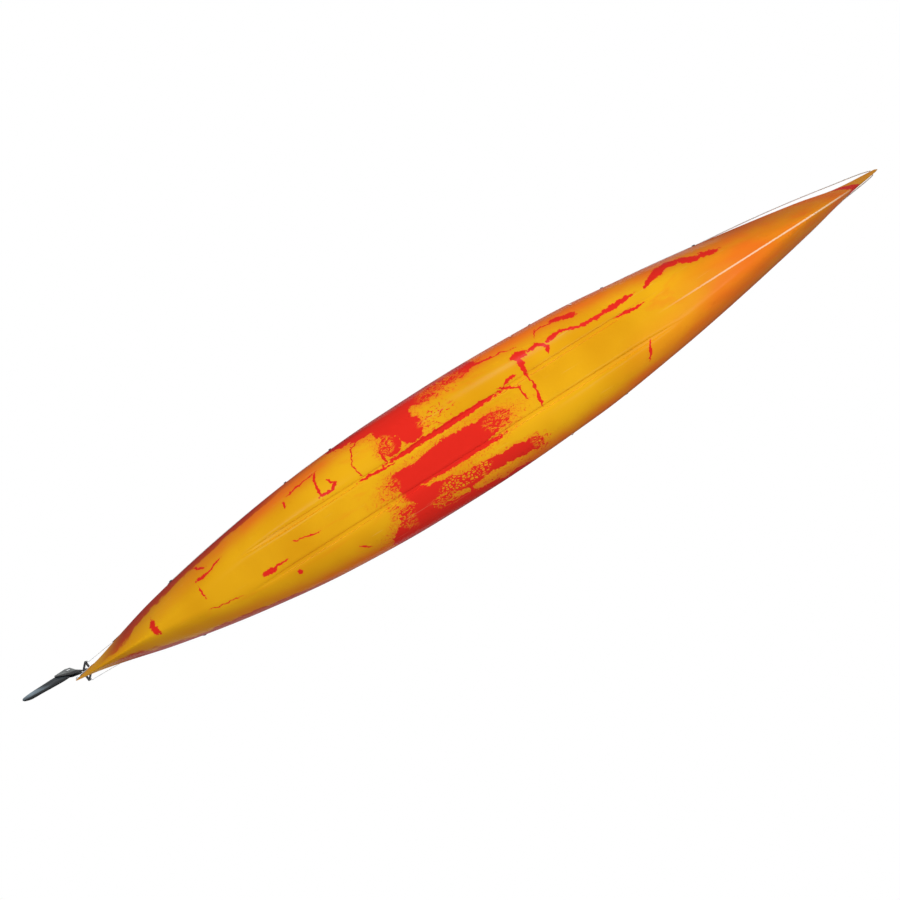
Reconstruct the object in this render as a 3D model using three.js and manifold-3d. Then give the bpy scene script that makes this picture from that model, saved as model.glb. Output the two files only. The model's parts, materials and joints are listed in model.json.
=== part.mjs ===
// A single touring and racing sea kayak: a one-piece moulded hull with its cockpit, hatches,
// foot-steered over-stern rudder and deck gear.
// Millimetres. +X runs to the bow, +Y to port and +Z up.
// The origin is on the flat of the keel, halfway along the hull.

import * as THREE from 'three';
import { mergeVertices } from 'three/addons/utils/BufferGeometryUtils.js';
import Module from 'manifold-3d';

const wasm = await Module();
wasm.setup();

// Driving dimensions of the hull
const LENGTH = 4950;
const BEAM = 624;
const DEPTH = 385;
const WALL = 5.5;
const CLEARANCE = 0.4;
const OVERRUN = 4;
const SEATING_SINK = 3;
const STERN_X = -LENGTH / 2;
const BOW_X = LENGTH / 2;

// Moulded channels along the bottom
const CHANNEL_SPACING = 176;
const CHANNEL_WIDTH = 27;
const CHANNEL_DEPTH = 5;
const FLAT_HALF_WIDTH = 72;

// Cockpit
const COCKPIT_X = -60;
const COCKPIT_LENGTH = 820;
const COCKPIT_WIDTH = 430;
const COAMING_REAR_Z = 291;
const COAMING_FRONT_Z = 384;
const COAMING_LIP = 22;
const COAMING_LIP_THICKNESS = 5;

// Hatches
const BOW_HATCH_LENGTH = 210;
const BOW_HATCH_WIDTH = 210;
const STERN_HATCH_LENGTH = 420;
const STERN_HATCH_WIDTH = 250;
const HATCH_RIM_HEIGHT = 14;
const HATCH_COVER_WALL = 4;
const HATCH_COVER_SKIRT = 9;

// Bulkheads
const BULKHEAD_THICKNESS = 25;

// Seat and backrest
const SEAT_X = -240;
const SEAT_LENGTH = 360;
const SEAT_WIDTH = 362;
const SEAT_CHEEK_HEIGHT = 120;
const SEAT_WALL = 5;
const SEAT_CORNER = 60;
const SEAT_TAB_LENGTH = 44;
const SEAT_BOLT_RADIUS = 3;
const SEAT_BOLT_HEAD_RADIUS = 7;
const SEAT_BOLT_HEAD_HEIGHT = 4;
const SEAT_PAD_MARGIN = 25;
const SEAT_PAD_THICKNESS = 30;
const BACKREST_PIVOT_X = -330;
const BACKREST_PIVOT_HEIGHT = 101;
const BACKREST_REACH = 74;
const BACKREST_DROP = 27;
const BACKREST_RISE = 122;
const BACKREST_THICKNESS = 16;
const BACKREST_ARM_HEIGHT = 26;
const BACKREST_PIN_RADIUS = 5;

// Thigh braces
const BRACE_START_STEP = 5;
const BRACE_END_STEP = 9;
const BRACE_DROP = 46;
const BRACE_REACH = 58;
const BRACE_WALL = 6;

// Foot rails and pedals
const RAIL_X = 500;
const RAIL_LENGTH = 400;
const RAIL_Z = 128;
const RAIL_HEIGHT = 26;
const RAIL_DEPTH = 12;
const RAIL_STANDOFF = 10;
const RAIL_SCREW_RADIUS = 3;
const RAIL_SCREW_HEAD_RADIUS = 7;
const RAIL_SCREW_HEAD_HEIGHT = 3;
const RAIL_SCREW_SPACING = 340;
const PEDAL_WIDTH = 86;
const PEDAL_HEIGHT = 118;
const PEDAL_WALL = 8;
const CARRIAGE_LENGTH = 62;
const CARRIAGE_WALL = 4;

// Rudder, measured from its steering axis
const STEERING_OFFSET = 22;
const YAW_AT_REST = 20;
const CABLE_ARM = 49;
const PIN_RADIUS = 4;
const PIN_COLLAR_RADIUS = 7;
const PIN_COLLAR_HEIGHT = 5;
const TUBE_RADIUS = 9;
const TUBE_LENGTH = 93;
const TUBE_RISE = 5;
const BRACKET_WALL = 4;
const BRACKET_REACH = 52;
const BRACKET_HEIGHT = 60;
const YOKE_THICKNESS = 6;
const YOKE_BASE = 42;
const YOKE_HUB = 30;
const YOKE_TIP = 8;
const BLADE_PIVOT_REACH = 135;
const BLADE_PIVOT_RISE = 61;
const BLADE_LENGTH = 335;
const BLADE_ROOT_RADIUS = 23;
const BLADE_THICKNESS = 6;
const BLADE_AT_REST = 8;
const HOUSING_WALL = 4;
const HOUSING_BLOCK_HEIGHT = 10;
const HOUSING_GAP = 0.6;
// Cheek plates of the housing, as [in front of the blade's pivot, above it]
const CHEEK_POINTS = [[44, -6], [-22, 54], [-46, 44], [-53, -42], [-36, -62], [68, -84]];
const PIVOT_BOLT_RADIUS = 5;
const PIVOT_BOLT_HEAD_RADIUS = 9;
const PIVOT_BOLT_HEAD_HEIGHT = 4;
const CHOCK_REACH = 145;
const CHOCK_WIDTH = 36;
const CHOCK_LENGTH = 30;

// Steering wires and their conduits
const WIRE_RADIUS = 1.6;
const CONDUIT_RADIUS = 3;
const CONDUIT_EXIT_REACH = 185;
const LINK_LENGTH = 20;
const LINK_WIDTH = 9;
const LINK_THICKNESS = 3;

// Lines, bungees and their eyes
const LINE_RADIUS = 2.8;
const LIFT_BALL_RADIUS = 14;
const LIFT_LINE_INSET = 24;
const BUNGEE_RADIUS = 3;
const EYE_LENGTH = 36;
const EYE_WIDTH = 13;
const EYE_BASE = 3;
const EYE_HEIGHT = 15;
const EYE_HOLE_RADIUS = 4.6;
const EYE_TURN = 78;
const EYE_TO_COAMING = 78;
const EYE_TO_BOW_HATCH = 211;
const EYE_TO_STERN_HATCH = 80;
const BOW_LINE_HOLE_REACH = 35;
const BOW_LINE_HOLE_RADIUS = 5;
const BOW_LINE_SLACK = 14;

// Carrying toggles
const TOGGLE_LENGTH = 104;
const TOGGLE_RADIUS = 13;
const TOGGLE_WAIST_RADIUS = 10;
const LOOP_RADIUS = 3;
const BOW_TOGGLE_EYE_REACH = 385;
const BOW_TOGGLE_REACH = 465;
const STERN_TOGGLE_EYE_REACH = 385;
const STERN_TOGGLE_REACH = 465;

// Steps that the curved surfaces are drawn with
const STATIONS = 36;
const INNER_STATIONS = 26;
const BILGE_STEPS = 7;
const DECK_STEPS = 5;
const BEND_STEPS = 4;
const OVAL_STEPS = 36;
const ROUND_STEPS = 16;
const SCREW_STEPS = 10;
const LINE_SIDES = 8;
const HEX_SIDES = 6;
const ARCH_STEPS = 6;
const BEVEL_STEPS = 3;
const BLADE_STEPS = 12;
const CONDUIT_SPANS = 12;
const BUNGEE_SPANS = 20;
const LIFT_LINE_SPANS = 18;
const BOW_LINE_SPANS = 5;
const CROSSING_POWER = 4;

// Hull lines, each as [share of the length from the stern, share of the size it follows]
const HALF_BEAM_SHARES = [
  [0, 0.022], [0.02, 0.088], [0.05, 0.229], [0.1, 0.432], [0.2, 0.714], [0.3, 0.905], [0.4, 0.991],
  [0.47, 1], [0.6, 0.926], [0.7, 0.757], [0.8, 0.532], [0.9, 0.264], [0.95, 0.1], [1, 0.024],
];
const KEEL_SHARES = [
  [0, 0.43], [0.01, 0.26], [0.02, 0.18], [0.04, 0.104], [0.07, 0.052], [0.12, 0.016], [0.2, 0],
  [0.78, 0], [0.85, 0.03], [0.9, 0.104], [0.93, 0.195], [0.95, 0.31], [0.97, 0.49], [0.985, 0.67],
  [1, 0.89],
];
const SHEER_SHARES = [
  [0, 0.74], [0.1, 0.68], [0.2, 0.6], [0.35, 0.53], [0.5, 0.515], [0.65, 0.53], [0.8, 0.62],
  [0.9, 0.74], [0.95, 0.83], [1, 0.945],
];
const DECK_SHARES = [
  [0, 0.79], [0.05, 0.779], [0.1, 0.745], [0.2, 0.68], [0.3, 0.662], [0.4, 0.68], [0.46, 0.75],
  [0.52, 0.84], [0.57, 0.91], [0.62, 0.922], [0.7, 0.897], [0.8, 0.87], [0.9, 0.886],
  [0.95, 0.93], [1, 1],
];
const HULL_FULLNESS_SHARES = [
  [0, 1.25], [0.06, 1.3], [0.15, 1.6], [0.3, 2.2], [0.5, 2.4], [0.7, 2.1], [0.85, 1.5],
  [0.94, 1.25], [1, 1.15],
];
const DECK_FULLNESS_SHARES = [
  [0, 2.2], [0.3, 2.6], [0.42, 2.6], [0.5, 2.2], [0.6, 1.75], [0.75, 1.6], [0.9, 1.6], [1, 1.8],
];
// Edges of the blade, each as [share of its length down from the pivot, share of its length outward]
const BLADE_FRONT_SHARES = [
  [0, 0.07], [0.12, 0.16], [0.32, 0.228], [0.58, 0.197], [0.78, 0.158], [0.93, 0.142],
  [0.985, 0.12], [1, 0.04],
];
const BLADE_REAR_SHARES = [
  [0, 0.07], [0.15, 0.118], [0.45, 0.113], [0.68, 0.104], [0.86, 0.078], [0.95, 0.04], [1, -0.04],
];
const FLAT_SHARES = [[0.1, 0], [0.3, 1], [0.7, 1], [0.88, 0]];
const CHANNEL_SHARES = [[0.215, 0], [0.27, 1], [0.66, 1], [0.715, 0]];
const BOW_HATCH_SHARE = 0.24;
const STERN_HATCH_SHARE = -0.27;
const BOW_BULKHEAD_SHARE = 0.178;
const STERN_BULKHEAD_SHARE = -0.125;
const BOW_EYE_SHARE = 0.282;
const STERN_EYE_SHARE = -0.372;
const CONDUIT_END_SHARE = 0.08;
const BACKREST_BEND_SHARE = 0.6;
const YOKE_WINDOW_SHARE = 0.7;
const CHOCK_MOUTH_SHARE = 1.5;
const CHOCK_FLOOR_SHARE = 0.7;
const TOGGLE_GRIP_SHARE = 0.7;
const STATION_EASE_SHARE = 0.75;
const CHANNEL_OF_BEAM_SHARE = 0.44;
const CHANNEL_MOUTH_SHARE = 0.3;
const CHANNEL_FLOOR_SHARE = 0.5;
const COCKPIT_FRONT_SHARE = 0.12;
const LIFT_LINE_SHARE = 0.7;
const INNER_START_SHARE = 0.035;
const INNER_END_SHARE = 0.96;

// Materials, as seen on the photographed object or usual for the piece
function paint(color, roughness, metalness) {
  return new THREE.MeshStandardMaterial({ color, roughness, metalness });
}
const MOULDED = paint(0xe8a015, 0.32, 0);
const BLACK_PLASTIC = paint(0x1b1c1e, 0.5, 0);
const RUBBER = paint(0x202124, 0.7, 0);
const FOAM = paint(0x2f3033, 0.9, 0);
const FABRIC = paint(0x2a2c30, 0.95, 0);
const STEEL = paint(0xb4b7b9, 0.3, 1);
const ALUMINIUM = paint(0x5f6466, 0.4, 1);
const BLADE_PAINT = paint(0x2b3136, 0.3, 0.2);
const ROPE = paint(0xd9d9d4, 0.85, 0);
const BUNGEE = paint(0x1a1a1c, 0.8, 0);

const kayak = new THREE.Group();

function add(name, geometry, material, parent = kayak) {
  const mesh = new THREE.Mesh(geometry, material);
  mesh.name = name;
  parent.add(mesh);
  return mesh;
}

// Joining and cutting of closed shapes
function solid(geometry) {
  const bare = geometry.clone();
  bare.deleteAttribute('normal');
  bare.deleteAttribute('uv');
  const merged = mergeVertices(bare);
  return new wasm.Manifold(new wasm.Mesh({
    numProp: 3,
    vertProperties: new Float32Array(merged.attributes.position.array),
    triVerts: new Uint32Array(merged.index.array),
  }));
}

function shape(body) {
  const mesh = body.getMesh();
  const geometry = new THREE.BufferGeometry();
  geometry.setAttribute('position', new THREE.BufferAttribute(new Float32Array(mesh.vertProperties), 3));
  geometry.setIndex(new THREE.BufferAttribute(new Uint32Array(mesh.triVerts), 1));
  return geometry;
}

// A smooth line through a table of shares, which never swings past its points
function line(table) {
  const last = table.length - 1;
  const slopes = table.slice(1).map((p, k) => (p[1] - table[k][1]) / (p[0] - table[k][0]));
  const tangents = table.map((p, k) => {
    if (k === 0 || k === last) return slopes[Math.min(k, last - 1)];
    const before = slopes[k - 1];
    const after = slopes[k];
    return before * after <= 0 ? 0 : (2 * before * after) / (before + after);
  });
  return (share) => {
    if (share <= table[0][0]) return table[0][1];
    if (share >= table[last][0]) return table[last][1];
    const k = table.findIndex((p) => p[0] > share) - 1;
    const span = table[k + 1][0] - table[k][0];
    const t = (share - table[k][0]) / span;
    const rise = t * t * (3 - 2 * t);
    return table[k][1] * (1 - rise) + table[k + 1][1] * rise
      + span * t * (1 - t) * ((1 - t) * tangents[k] - t * tangents[k + 1]);
  };
}
const halfBeamLine = line(HALF_BEAM_SHARES);
const keelLine = line(KEEL_SHARES);
const sheerLine = line(SHEER_SHARES);
const deckLine = line(DECK_SHARES);
const hullFullness = line(HULL_FULLNESS_SHARES);
const deckFullness = line(DECK_FULLNESS_SHARES);
const flatLine = line(FLAT_SHARES);
const channelLine = line(CHANNEL_SHARES);
const bladeFront = line(BLADE_FRONT_SHARES);
const bladeRear = line(BLADE_REAR_SHARES);

function shareAt(x) {
  return (x - STERN_X) / LENGTH;
}

// The lines of the hull at one station, moved in from the outer skin by inset
function station(x, inset = 0) {
  const share = shareAt(x);
  const half = halfBeamLine(share) * BEAM / 2 - inset;
  return {
    half,
    keel: keelLine(share) * DEPTH + inset,
    edge: sheerLine(share) * DEPTH,
    crown: deckLine(share) * DEPTH - inset,
    fullness: hullFullness(share),
    deckFullness: deckFullness(share),
    flat: Math.min(flatLine(share) * FLAT_HALF_WIDTH, half * CHANNEL_OF_BEAM_SHARE),
    channel: channelLine(share),
  };
}

function bottomZ(at, y) {
  const across = Math.max(0, Math.abs(y) - at.flat) / (at.half - at.flat);
  return at.edge - (at.edge - at.keel) * (1 - across ** at.fullness) ** (1 / at.fullness);
}

function deckZ(at, y) {
  const across = Math.min(1, Math.abs(y) / at.half);
  return at.edge + (at.crown - at.edge) * (1 - across ** at.deckFullness) ** (1 / at.deckFullness);
}

// Places along the hull that follow from its length, its cockpit and its hatches
const YAW_X = STERN_X - STEERING_OFFSET;
const CHOCK_X = STERN_X + CHOCK_REACH;
const STERN_TOGGLE_EYE_X = STERN_X + STERN_TOGGLE_EYE_REACH;
const STERN_TOGGLE_X = STERN_X + STERN_TOGGLE_REACH;
const BOW_LINE_HOLE_X = BOW_X - BOW_LINE_HOLE_REACH;
const BOW_TOGGLE_EYE_X = BOW_X - BOW_TOGGLE_EYE_REACH;
const BOW_TOGGLE_X = BOW_X - BOW_TOGGLE_REACH;
const BOW_HATCH_X = LENGTH * BOW_HATCH_SHARE;
const STERN_HATCH_X = LENGTH * STERN_HATCH_SHARE;
const BOW_BULKHEAD_X = LENGTH * BOW_BULKHEAD_SHARE;
const STERN_BULKHEAD_X = LENGTH * STERN_BULKHEAD_SHARE;
const cockpitRearX = COCKPIT_X - COCKPIT_LENGTH / 2;
const cockpitFrontX = COCKPIT_X + COCKPIT_LENGTH / 2;
const BOW_EYES_X = [
  cockpitFrontX + WALL + COAMING_LIP + EYE_TO_COAMING,
  BOW_HATCH_X - BOW_HATCH_LENGTH / 2 - EYE_TO_BOW_HATCH,
  LENGTH * BOW_EYE_SHARE,
];
const beforeSternHatchX = STERN_HATCH_X + STERN_HATCH_LENGTH / 2 + EYE_TO_STERN_HATCH;
const STERN_EYES_X = [(cockpitRearX + beforeSternHatchX) / 2, beforeSternHatchX, LENGTH * STERN_EYE_SHARE];
const TUBE_HIGH_Z = station(STERN_X).crown + TUBE_RISE;
const TUBE_LOW_Z = TUBE_HIGH_Z - TUBE_LENGTH;
const BLADE_PIVOT_Z = TUBE_HIGH_Z + BLADE_PIVOT_RISE;
const CONDUIT_EXIT_X = STERN_X + CONDUIT_EXIT_REACH;
const CONDUIT_EXIT_Y = station(CONDUIT_EXIT_X).half + 2 * CONDUIT_RADIUS;
const CONDUIT_EXIT_Z = (station(CONDUIT_EXIT_X).edge + station(CONDUIT_EXIT_X).crown) / 2;

// The steered head of the rudder, and the blade that swings from it
const rudderHead = new THREE.Group();
rudderHead.position.set(YAW_X, 0, 0);
rudderHead.rotation.z = THREE.MathUtils.degToRad(YAW_AT_REST);
kayak.add(rudderHead);
const bladeGroup = new THREE.Group();
bladeGroup.position.set(-BLADE_PIVOT_REACH, 0, BLADE_PIVOT_Z);
bladeGroup.rotation.y = THREE.MathUtils.degToRad(BLADE_AT_REST);
rudderHead.add(bladeGroup);

// Half of a hull section, from the keel round the bilge to the middle of the deck
function halfSection(x, inset) {
  const at = station(x, inset);
  const middle = Math.min(CHANNEL_SPACING / 2, at.half * CHANNEL_OF_BEAM_SHARE);
  const width = Math.min(CHANNEL_WIDTH, at.half * CHANNEL_MOUTH_SHARE) * (1 + at.channel) / 2;
  const lip = middle + width / 2;
  const floor = width * CHANNEL_FLOOR_SHARE / 2;
  const rise = CHANNEL_DEPTH * at.channel;
  const points = [0, middle / 3, (2 * middle) / 3, middle - width / 2].map((y) => [y, bottomZ(at, y)]);
  points.push([middle - floor, bottomZ(at, middle - floor) + rise]);
  points.push([middle + floor, bottomZ(at, middle + floor) + rise]);
  points.push([lip, bottomZ(at, lip)]);
  const power = 2 / at.fullness;
  const start = Math.asin((Math.max(0, lip - at.flat) / (at.half - at.flat)) ** (1 / power));
  for (let k = 1; k <= BILGE_STEPS; k++) {
    const turn = start + (Math.PI / 2 - start) * k / BILGE_STEPS;
    const y = at.flat + (at.half - at.flat) * Math.sin(turn) ** power;
    points.push([y, at.edge - (at.edge - at.keel) * Math.max(0, Math.cos(turn)) ** power]);
  }
  const deckPower = 2 / at.deckFullness;
  for (let k = DECK_STEPS - 1; k >= 0; k--) {
    const turn = Math.PI / 2 * k / DECK_STEPS;
    const z = at.edge + (at.crown - at.edge) * Math.cos(turn) ** deckPower;
    points.push([at.half * Math.sin(turn) ** deckPower, z]);
  }
  return points;
}

function section(x, inset) {
  const half = halfSection(x, inset);
  const other = half.slice(1, -1).reverse();
  return [
    ...half.map(([y, z]) => new THREE.Vector3(x, y, z)),
    ...other.map(([y, z]) => new THREE.Vector3(x, -y, z)),
  ];
}

// A closed skin over rings of points, each flattened by toFlat to close the two ends
function loft(rings, toFlat) {
  const count = rings[0].length;
  const positions = rings.flat().flatMap((p) => [p.x, p.y, p.z]);
  const index = [];
  for (let r = 0; r < rings.length - 1; r++) {
    for (let k = 0; k < count; k++) {
      const a = r * count + k;
      const b = r * count + (k + 1) % count;
      index.push(a, b, b + count, a, b + count, a + count);
    }
  }
  const last = (rings.length - 1) * count;
  const flatFirst = rings[0].map(toFlat);
  const flatLast = rings[rings.length - 1].map(toFlat);
  const forward = !THREE.ShapeUtils.isClockWise(flatFirst);
  for (const [a, b, c] of THREE.ShapeUtils.triangulateShape(flatFirst, [])) {
    index.push(...(forward ? [a, c, b] : [a, b, c]));
  }
  for (const [a, b, c] of THREE.ShapeUtils.triangulateShape(flatLast, [])) {
    index.push(...(forward ? [last + a, last + b, last + c] : [last + a, last + c, last + b]));
  }
  const geometry = new THREE.BufferGeometry();
  geometry.setAttribute('position', new THREE.Float32BufferAttribute(positions, 3));
  geometry.setIndex(index);
  return geometry;
}

// Stations close up towards both ends, where the lines turn quickest
function hullSkin(fromX, toX, inset, count) {
  const rings = [];
  for (let k = 0; k <= count; k++) {
    const t = k / count;
    const eased = t - STATION_EASE_SHARE * Math.sin(2 * Math.PI * t) / (2 * Math.PI);
    rings.push(section(fromX + (toX - fromX) * eased, inset));
  }
  return solid(loft(rings, (p) => new THREE.Vector2(p.y, p.z)));
}

function ovalPoint(at, turn, grow) {
  const narrow = 1 - at.frontShare * Math.cos(turn);
  return [
    at.x + (at.length / 2 + grow) * Math.cos(turn),
    (at.width / 2 + grow) * Math.sin(turn) * narrow,
  ];
}

// An upright solid on an oval, between two surfaces given as heights over x
function ovalSolid(at, grow, lowZ, highZ) {
  const rings = [lowZ, highZ].map((height) => {
    const ring = [];
    for (let k = 0; k < OVAL_STEPS; k++) {
      const [x, y] = ovalPoint(at, 2 * Math.PI * k / OVAL_STEPS, grow);
      ring.push(new THREE.Vector3(x, y, height(x)));
    }
    return ring;
  });
  return solid(loft(rings, (p) => new THREE.Vector2(p.x, p.y)));
}

function slab(fromX, toX, fromY, toY, fromZ, toZ) {
  const box = new THREE.BoxGeometry(toX - fromX, toY - fromY, toZ - fromZ);
  box.translate((fromX + toX) / 2, (fromY + toY) / 2, (fromZ + toZ) / 2);
  return box;
}

// Cylinders along the three axes
function post(radius, lowZ, highZ, x, y, steps = ROUND_STEPS) {
  const rod = new THREE.CylinderGeometry(radius, radius, highZ - lowZ, steps);
  rod.rotateX(Math.PI / 2);
  rod.translate(x, y, (lowZ + highZ) / 2);
  return rod;
}

function crossRod(radius, fromY, toY, x, z, steps = ROUND_STEPS) {
  const rod = new THREE.CylinderGeometry(radius, radius, Math.abs(toY - fromY), steps);
  rod.translate(x, (fromY + toY) / 2, z);
  return rod;
}

// A round cord along a smooth route, with the same number of steps in each span between its points
function cord(points, radius, stepsPerSpan, sides = LINE_SIDES) {
  const outline = [];
  for (let k = 0; k < sides; k++) {
    const turn = 2 * Math.PI * k / sides;
    outline.push(new THREE.Vector2(radius * Math.cos(turn), radius * Math.sin(turn)));
  }
  const route = new THREE.CatmullRomCurve3(points.map((p) => new THREE.Vector3(...p)), false, 'centripetal');
  route.getUtoTmapping = (u) => u;
  const steps = (points.length - 1) * stepsPerSpan;
  const settings = { extrudePath: route, steps, bevelEnabled: false };
  return new THREE.ExtrudeGeometry(new THREE.Shape(outline), settings);
}

function polygon(points) {
  return new THREE.Shape(points.map(([a, b]) => new THREE.Vector2(a, b)));
}

// A flat shape drawn in X and Z, given a width across the boat about y = 0
function acrossBoat(outline, width, curveSegments = ROUND_STEPS / 2) {
  const plate = new THREE.ExtrudeGeometry(outline, { depth: width, bevelEnabled: false, curveSegments });
  plate.rotateX(Math.PI / 2);
  plate.translate(0, width / 2, 0);
  return plate;
}

// Hull shell
const cockpit = { x: COCKPIT_X, length: COCKPIT_LENGTH, width: COCKPIT_WIDTH, frontShare: COCKPIT_FRONT_SHARE };
const bowHatch = { x: BOW_HATCH_X, length: BOW_HATCH_LENGTH, width: BOW_HATCH_WIDTH, frontShare: 0 };
const sternHatch = { x: STERN_HATCH_X, length: STERN_HATCH_LENGTH, width: STERN_HATCH_WIDTH, frontShare: 0 };

function coamingZ(x) {
  const share = (x - COCKPIT_X + COCKPIT_LENGTH / 2) / COCKPIT_LENGTH;
  return COAMING_REAR_Z + (COAMING_FRONT_Z - COAMING_REAR_Z) * share;
}

function hatchRimZ(hatch) {
  const ends = [hatch.x - hatch.length / 2 - WALL, hatch.x, hatch.x + hatch.length / 2 + WALL];
  return Math.max(...ends.map((x) => station(x).crown)) + HATCH_RIM_HEIGHT;
}

const innerStartX = STERN_X + LENGTH * INNER_START_SHARE;
const innerEndX = STERN_X + LENGTH * INNER_END_SHARE;

function hollow(inset) {
  return hullSkin(innerStartX, innerEndX, inset, INNER_STATIONS);
}

const insideLowZ = station(0).edge;
const aboveAllZ = DEPTH + BEAM;

function hullShell() {
  const always = (z) => () => z;
  let body = hullSkin(STERN_X, STERN_X + LENGTH, 0, STATIONS);
  body = body.add(ovalSolid(cockpit, WALL, always(insideLowZ), coamingZ));
  const lipUnder = (x) => coamingZ(x) - COAMING_LIP_THICKNESS;
  body = body.add(ovalSolid(cockpit, WALL + COAMING_LIP, lipUnder, coamingZ));
  for (const hatch of [bowHatch, sternHatch]) {
    body = body.add(ovalSolid(hatch, WALL, always(insideLowZ), always(hatchRimZ(hatch))));
  }
  body = body.subtract(hollow(WALL));
  for (const opening of [cockpit, bowHatch, sternHatch]) {
    body = body.subtract(ovalSolid(opening, 0, always(insideLowZ), always(aboveAllZ)));
  }
  return body;
}

let hull = hullShell();

// A fitting is lifted off the hull along a direction until the two are just clear
function seatOnHull(geometry, direction) {
  const step = CLEARANCE / 2;
  const seated = geometry.clone();
  seated.translate(-direction.x * SEATING_SINK, -direction.y * SEATING_SINK, -direction.z * SEATING_SINK);
  let lift = -SEATING_SINK;
  do {
    seated.translate(direction.x * step, direction.y * step, direction.z * step);
    lift += step;
  } while (hull.intersect(solid(seated)).volume() > 0 && lift < CHANNEL_WIDTH);
  return { seated, lift };
}

// A point on the deck: turn 90 is the sheer edge and 0 the middle line, side 1 is port
function deckPoint(x, turn, side) {
  const at = station(x);
  const power = 2 / at.deckFullness;
  const angle = THREE.MathUtils.degToRad(turn);
  const out = Math.sign(angle) * Math.abs(Math.sin(angle)) ** power;
  const z = at.edge + (at.crown - at.edge) * Math.cos(angle) ** power;
  return new THREE.Vector3(x, side * at.half * out, z);
}

// The same with its directions along the edge and out of the deck, raised by lift
function deckPlace(x, turn, side, lift) {
  const reach = EYE_LENGTH / 2;
  const along = deckPoint(x + reach, turn, side).sub(deckPoint(x - reach, turn, side)).normalize();
  const across = deckPoint(x, turn + 1, side).sub(deckPoint(x, turn - 1, side)).multiplyScalar(side);
  const normal = across.cross(along).negate().normalize();
  const point = deckPoint(x, turn, side).addScaledVector(normal, lift);
  return { point, along, normal };
}

// Bulkheads close off both ends of the cockpit
function bulkhead(x) {
  const half = BULKHEAD_THICKNESS / 2;
  return hollow(WALL + CLEARANCE).intersect(solid(slab(x - half, x + half, -BEAM, BEAM, -DEPTH, 2 * DEPTH)));
}

// Steering conduits run inside the sheer from the stern to the foot rails
function conduitRoute(side) {
  const points = [];
  const startX = RAIL_X - RAIL_LENGTH / 2;
  const endX = STERN_X + LENGTH * CONDUIT_END_SHARE;
  const inward = 3 * CONDUIT_RADIUS;
  for (let k = 0; k <= CONDUIT_SPANS; k++) {
    const x = startX + (endX - startX) * k / CONDUIT_SPANS;
    const at = station(x, WALL);
    points.push([x, side * (at.half - inward), at.edge - inward]);
  }
  points.push([CONDUIT_EXIT_X, side * CONDUIT_EXIT_Y, CONDUIT_EXIT_Z]);
  return points;
}

const conduits = [1, -1].map((side) => cord(conduitRoute(side), CONDUIT_RADIUS, 2));
const conduitHoles = [1, -1].map((side) => solid(cord(conduitRoute(side), CONDUIT_RADIUS + CLEARANCE, 2)));

// Foot rails lie along the hull side, turned to follow it
const railEnds = [RAIL_X - RAIL_SCREW_SPACING / 2, RAIL_X + RAIL_SCREW_SPACING / 2].map((x) => {
  const at = station(x, WALL);
  const lowered = Math.min(1, (at.edge - RAIL_Z) / (at.edge - at.keel));
  return [x, at.half * (1 - lowered ** at.fullness) ** (1 / at.fullness)];
});
const railTurn = Math.atan2(railEnds[1][1] - railEnds[0][1], railEnds[1][0] - railEnds[0][0]);
const railY = (railEnds[0][1] + railEnds[1][1]) / 2 - RAIL_STANDOFF - RAIL_DEPTH / 2;
const railGroups = [1, -1].map((side) => {
  const group = new THREE.Group();
  group.position.set(RAIL_X, side * railY, RAIL_Z);
  group.rotation.z = side * railTurn;
  kayak.add(group);
  group.updateMatrixWorld(true);
  return group;
});
const railHalf = RAIL_LENGTH / 2;
const screwReach = RAIL_STANDOFF + WALL * 2;

// A screw's hole and the seat of its head, in the rail's own frame, with the hull side at y times side
function railScrewHole(side, x) {
  const inside = side * (RAIL_DEPTH / 2 + CLEARANCE);
  const outside = side * (RAIL_DEPTH / 2 + screwReach);
  const hole = solid(crossRod(RAIL_SCREW_RADIUS + CLEARANCE, inside, outside, x, 0));
  const headSeat = crossRod(RAIL_SCREW_HEAD_RADIUS + CLEARANCE, outside - side * 2 * CLEARANCE,
    outside + side * RAIL_DEPTH, x, 0);
  return hole.add(solid(headSeat));
}

function cutFittingHoles() {
  [1, -1].forEach((side, k) => {
    hull = hull.subtract(conduitHoles[k]);
    for (const x of [-RAIL_SCREW_SPACING / 2, RAIL_SCREW_SPACING / 2]) {
      const hole = railScrewHole(side, x);
      hull = hull.subtract(hole.transform(railGroups[k].matrixWorld.elements));
    }
    hull = hull.subtract(solid(crossRod(
      SEAT_BOLT_RADIUS + CLEARANCE,
      side * (SEAT_WIDTH / 2 - SEAT_CORNER),
      side * (COCKPIT_WIDTH / 2 + COAMING_LIP),
      SEAT_X,
      seatBoltZ,
    )));
  });
  hull = hull.subtract(solid(crossRod(
    BOW_LINE_HOLE_RADIUS,
    -BEAM / 2,
    BEAM / 2,
    BOW_LINE_HOLE_X,
    bowLineHoleZ,
  )));
}
const seatBoltZ = coamingZ(SEAT_X) - COAMING_LIP_THICKNESS - 2 * SEAT_BOLT_RADIUS;
const bowLineHoleZ = (station(BOW_LINE_HOLE_X).keel + station(BOW_LINE_HOLE_X).crown) / 2;
cutFittingHoles();
add('hull_shell', shape(hull), MOULDED);

function addBulkheads() {
  const places = { bow_bulkhead: BOW_BULKHEAD_X, stern_bulkhead: STERN_BULKHEAD_X };
  for (const [name, x] of Object.entries(places)) {
    let plate = bulkhead(x);
    if (x < RAIL_X) conduitHoles.forEach((hole) => { plate = plate.subtract(hole); });
    add(name, shape(plate), FOAM);
  }
}
addBulkheads();

// Seat: a moulded pan on the bottom of the hull, hung from the coaming by a bolt on each side
const backrestHalfWidth = SEAT_WIDTH / 2 - SEAT_WALL - 2 * CLEARANCE;

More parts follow.
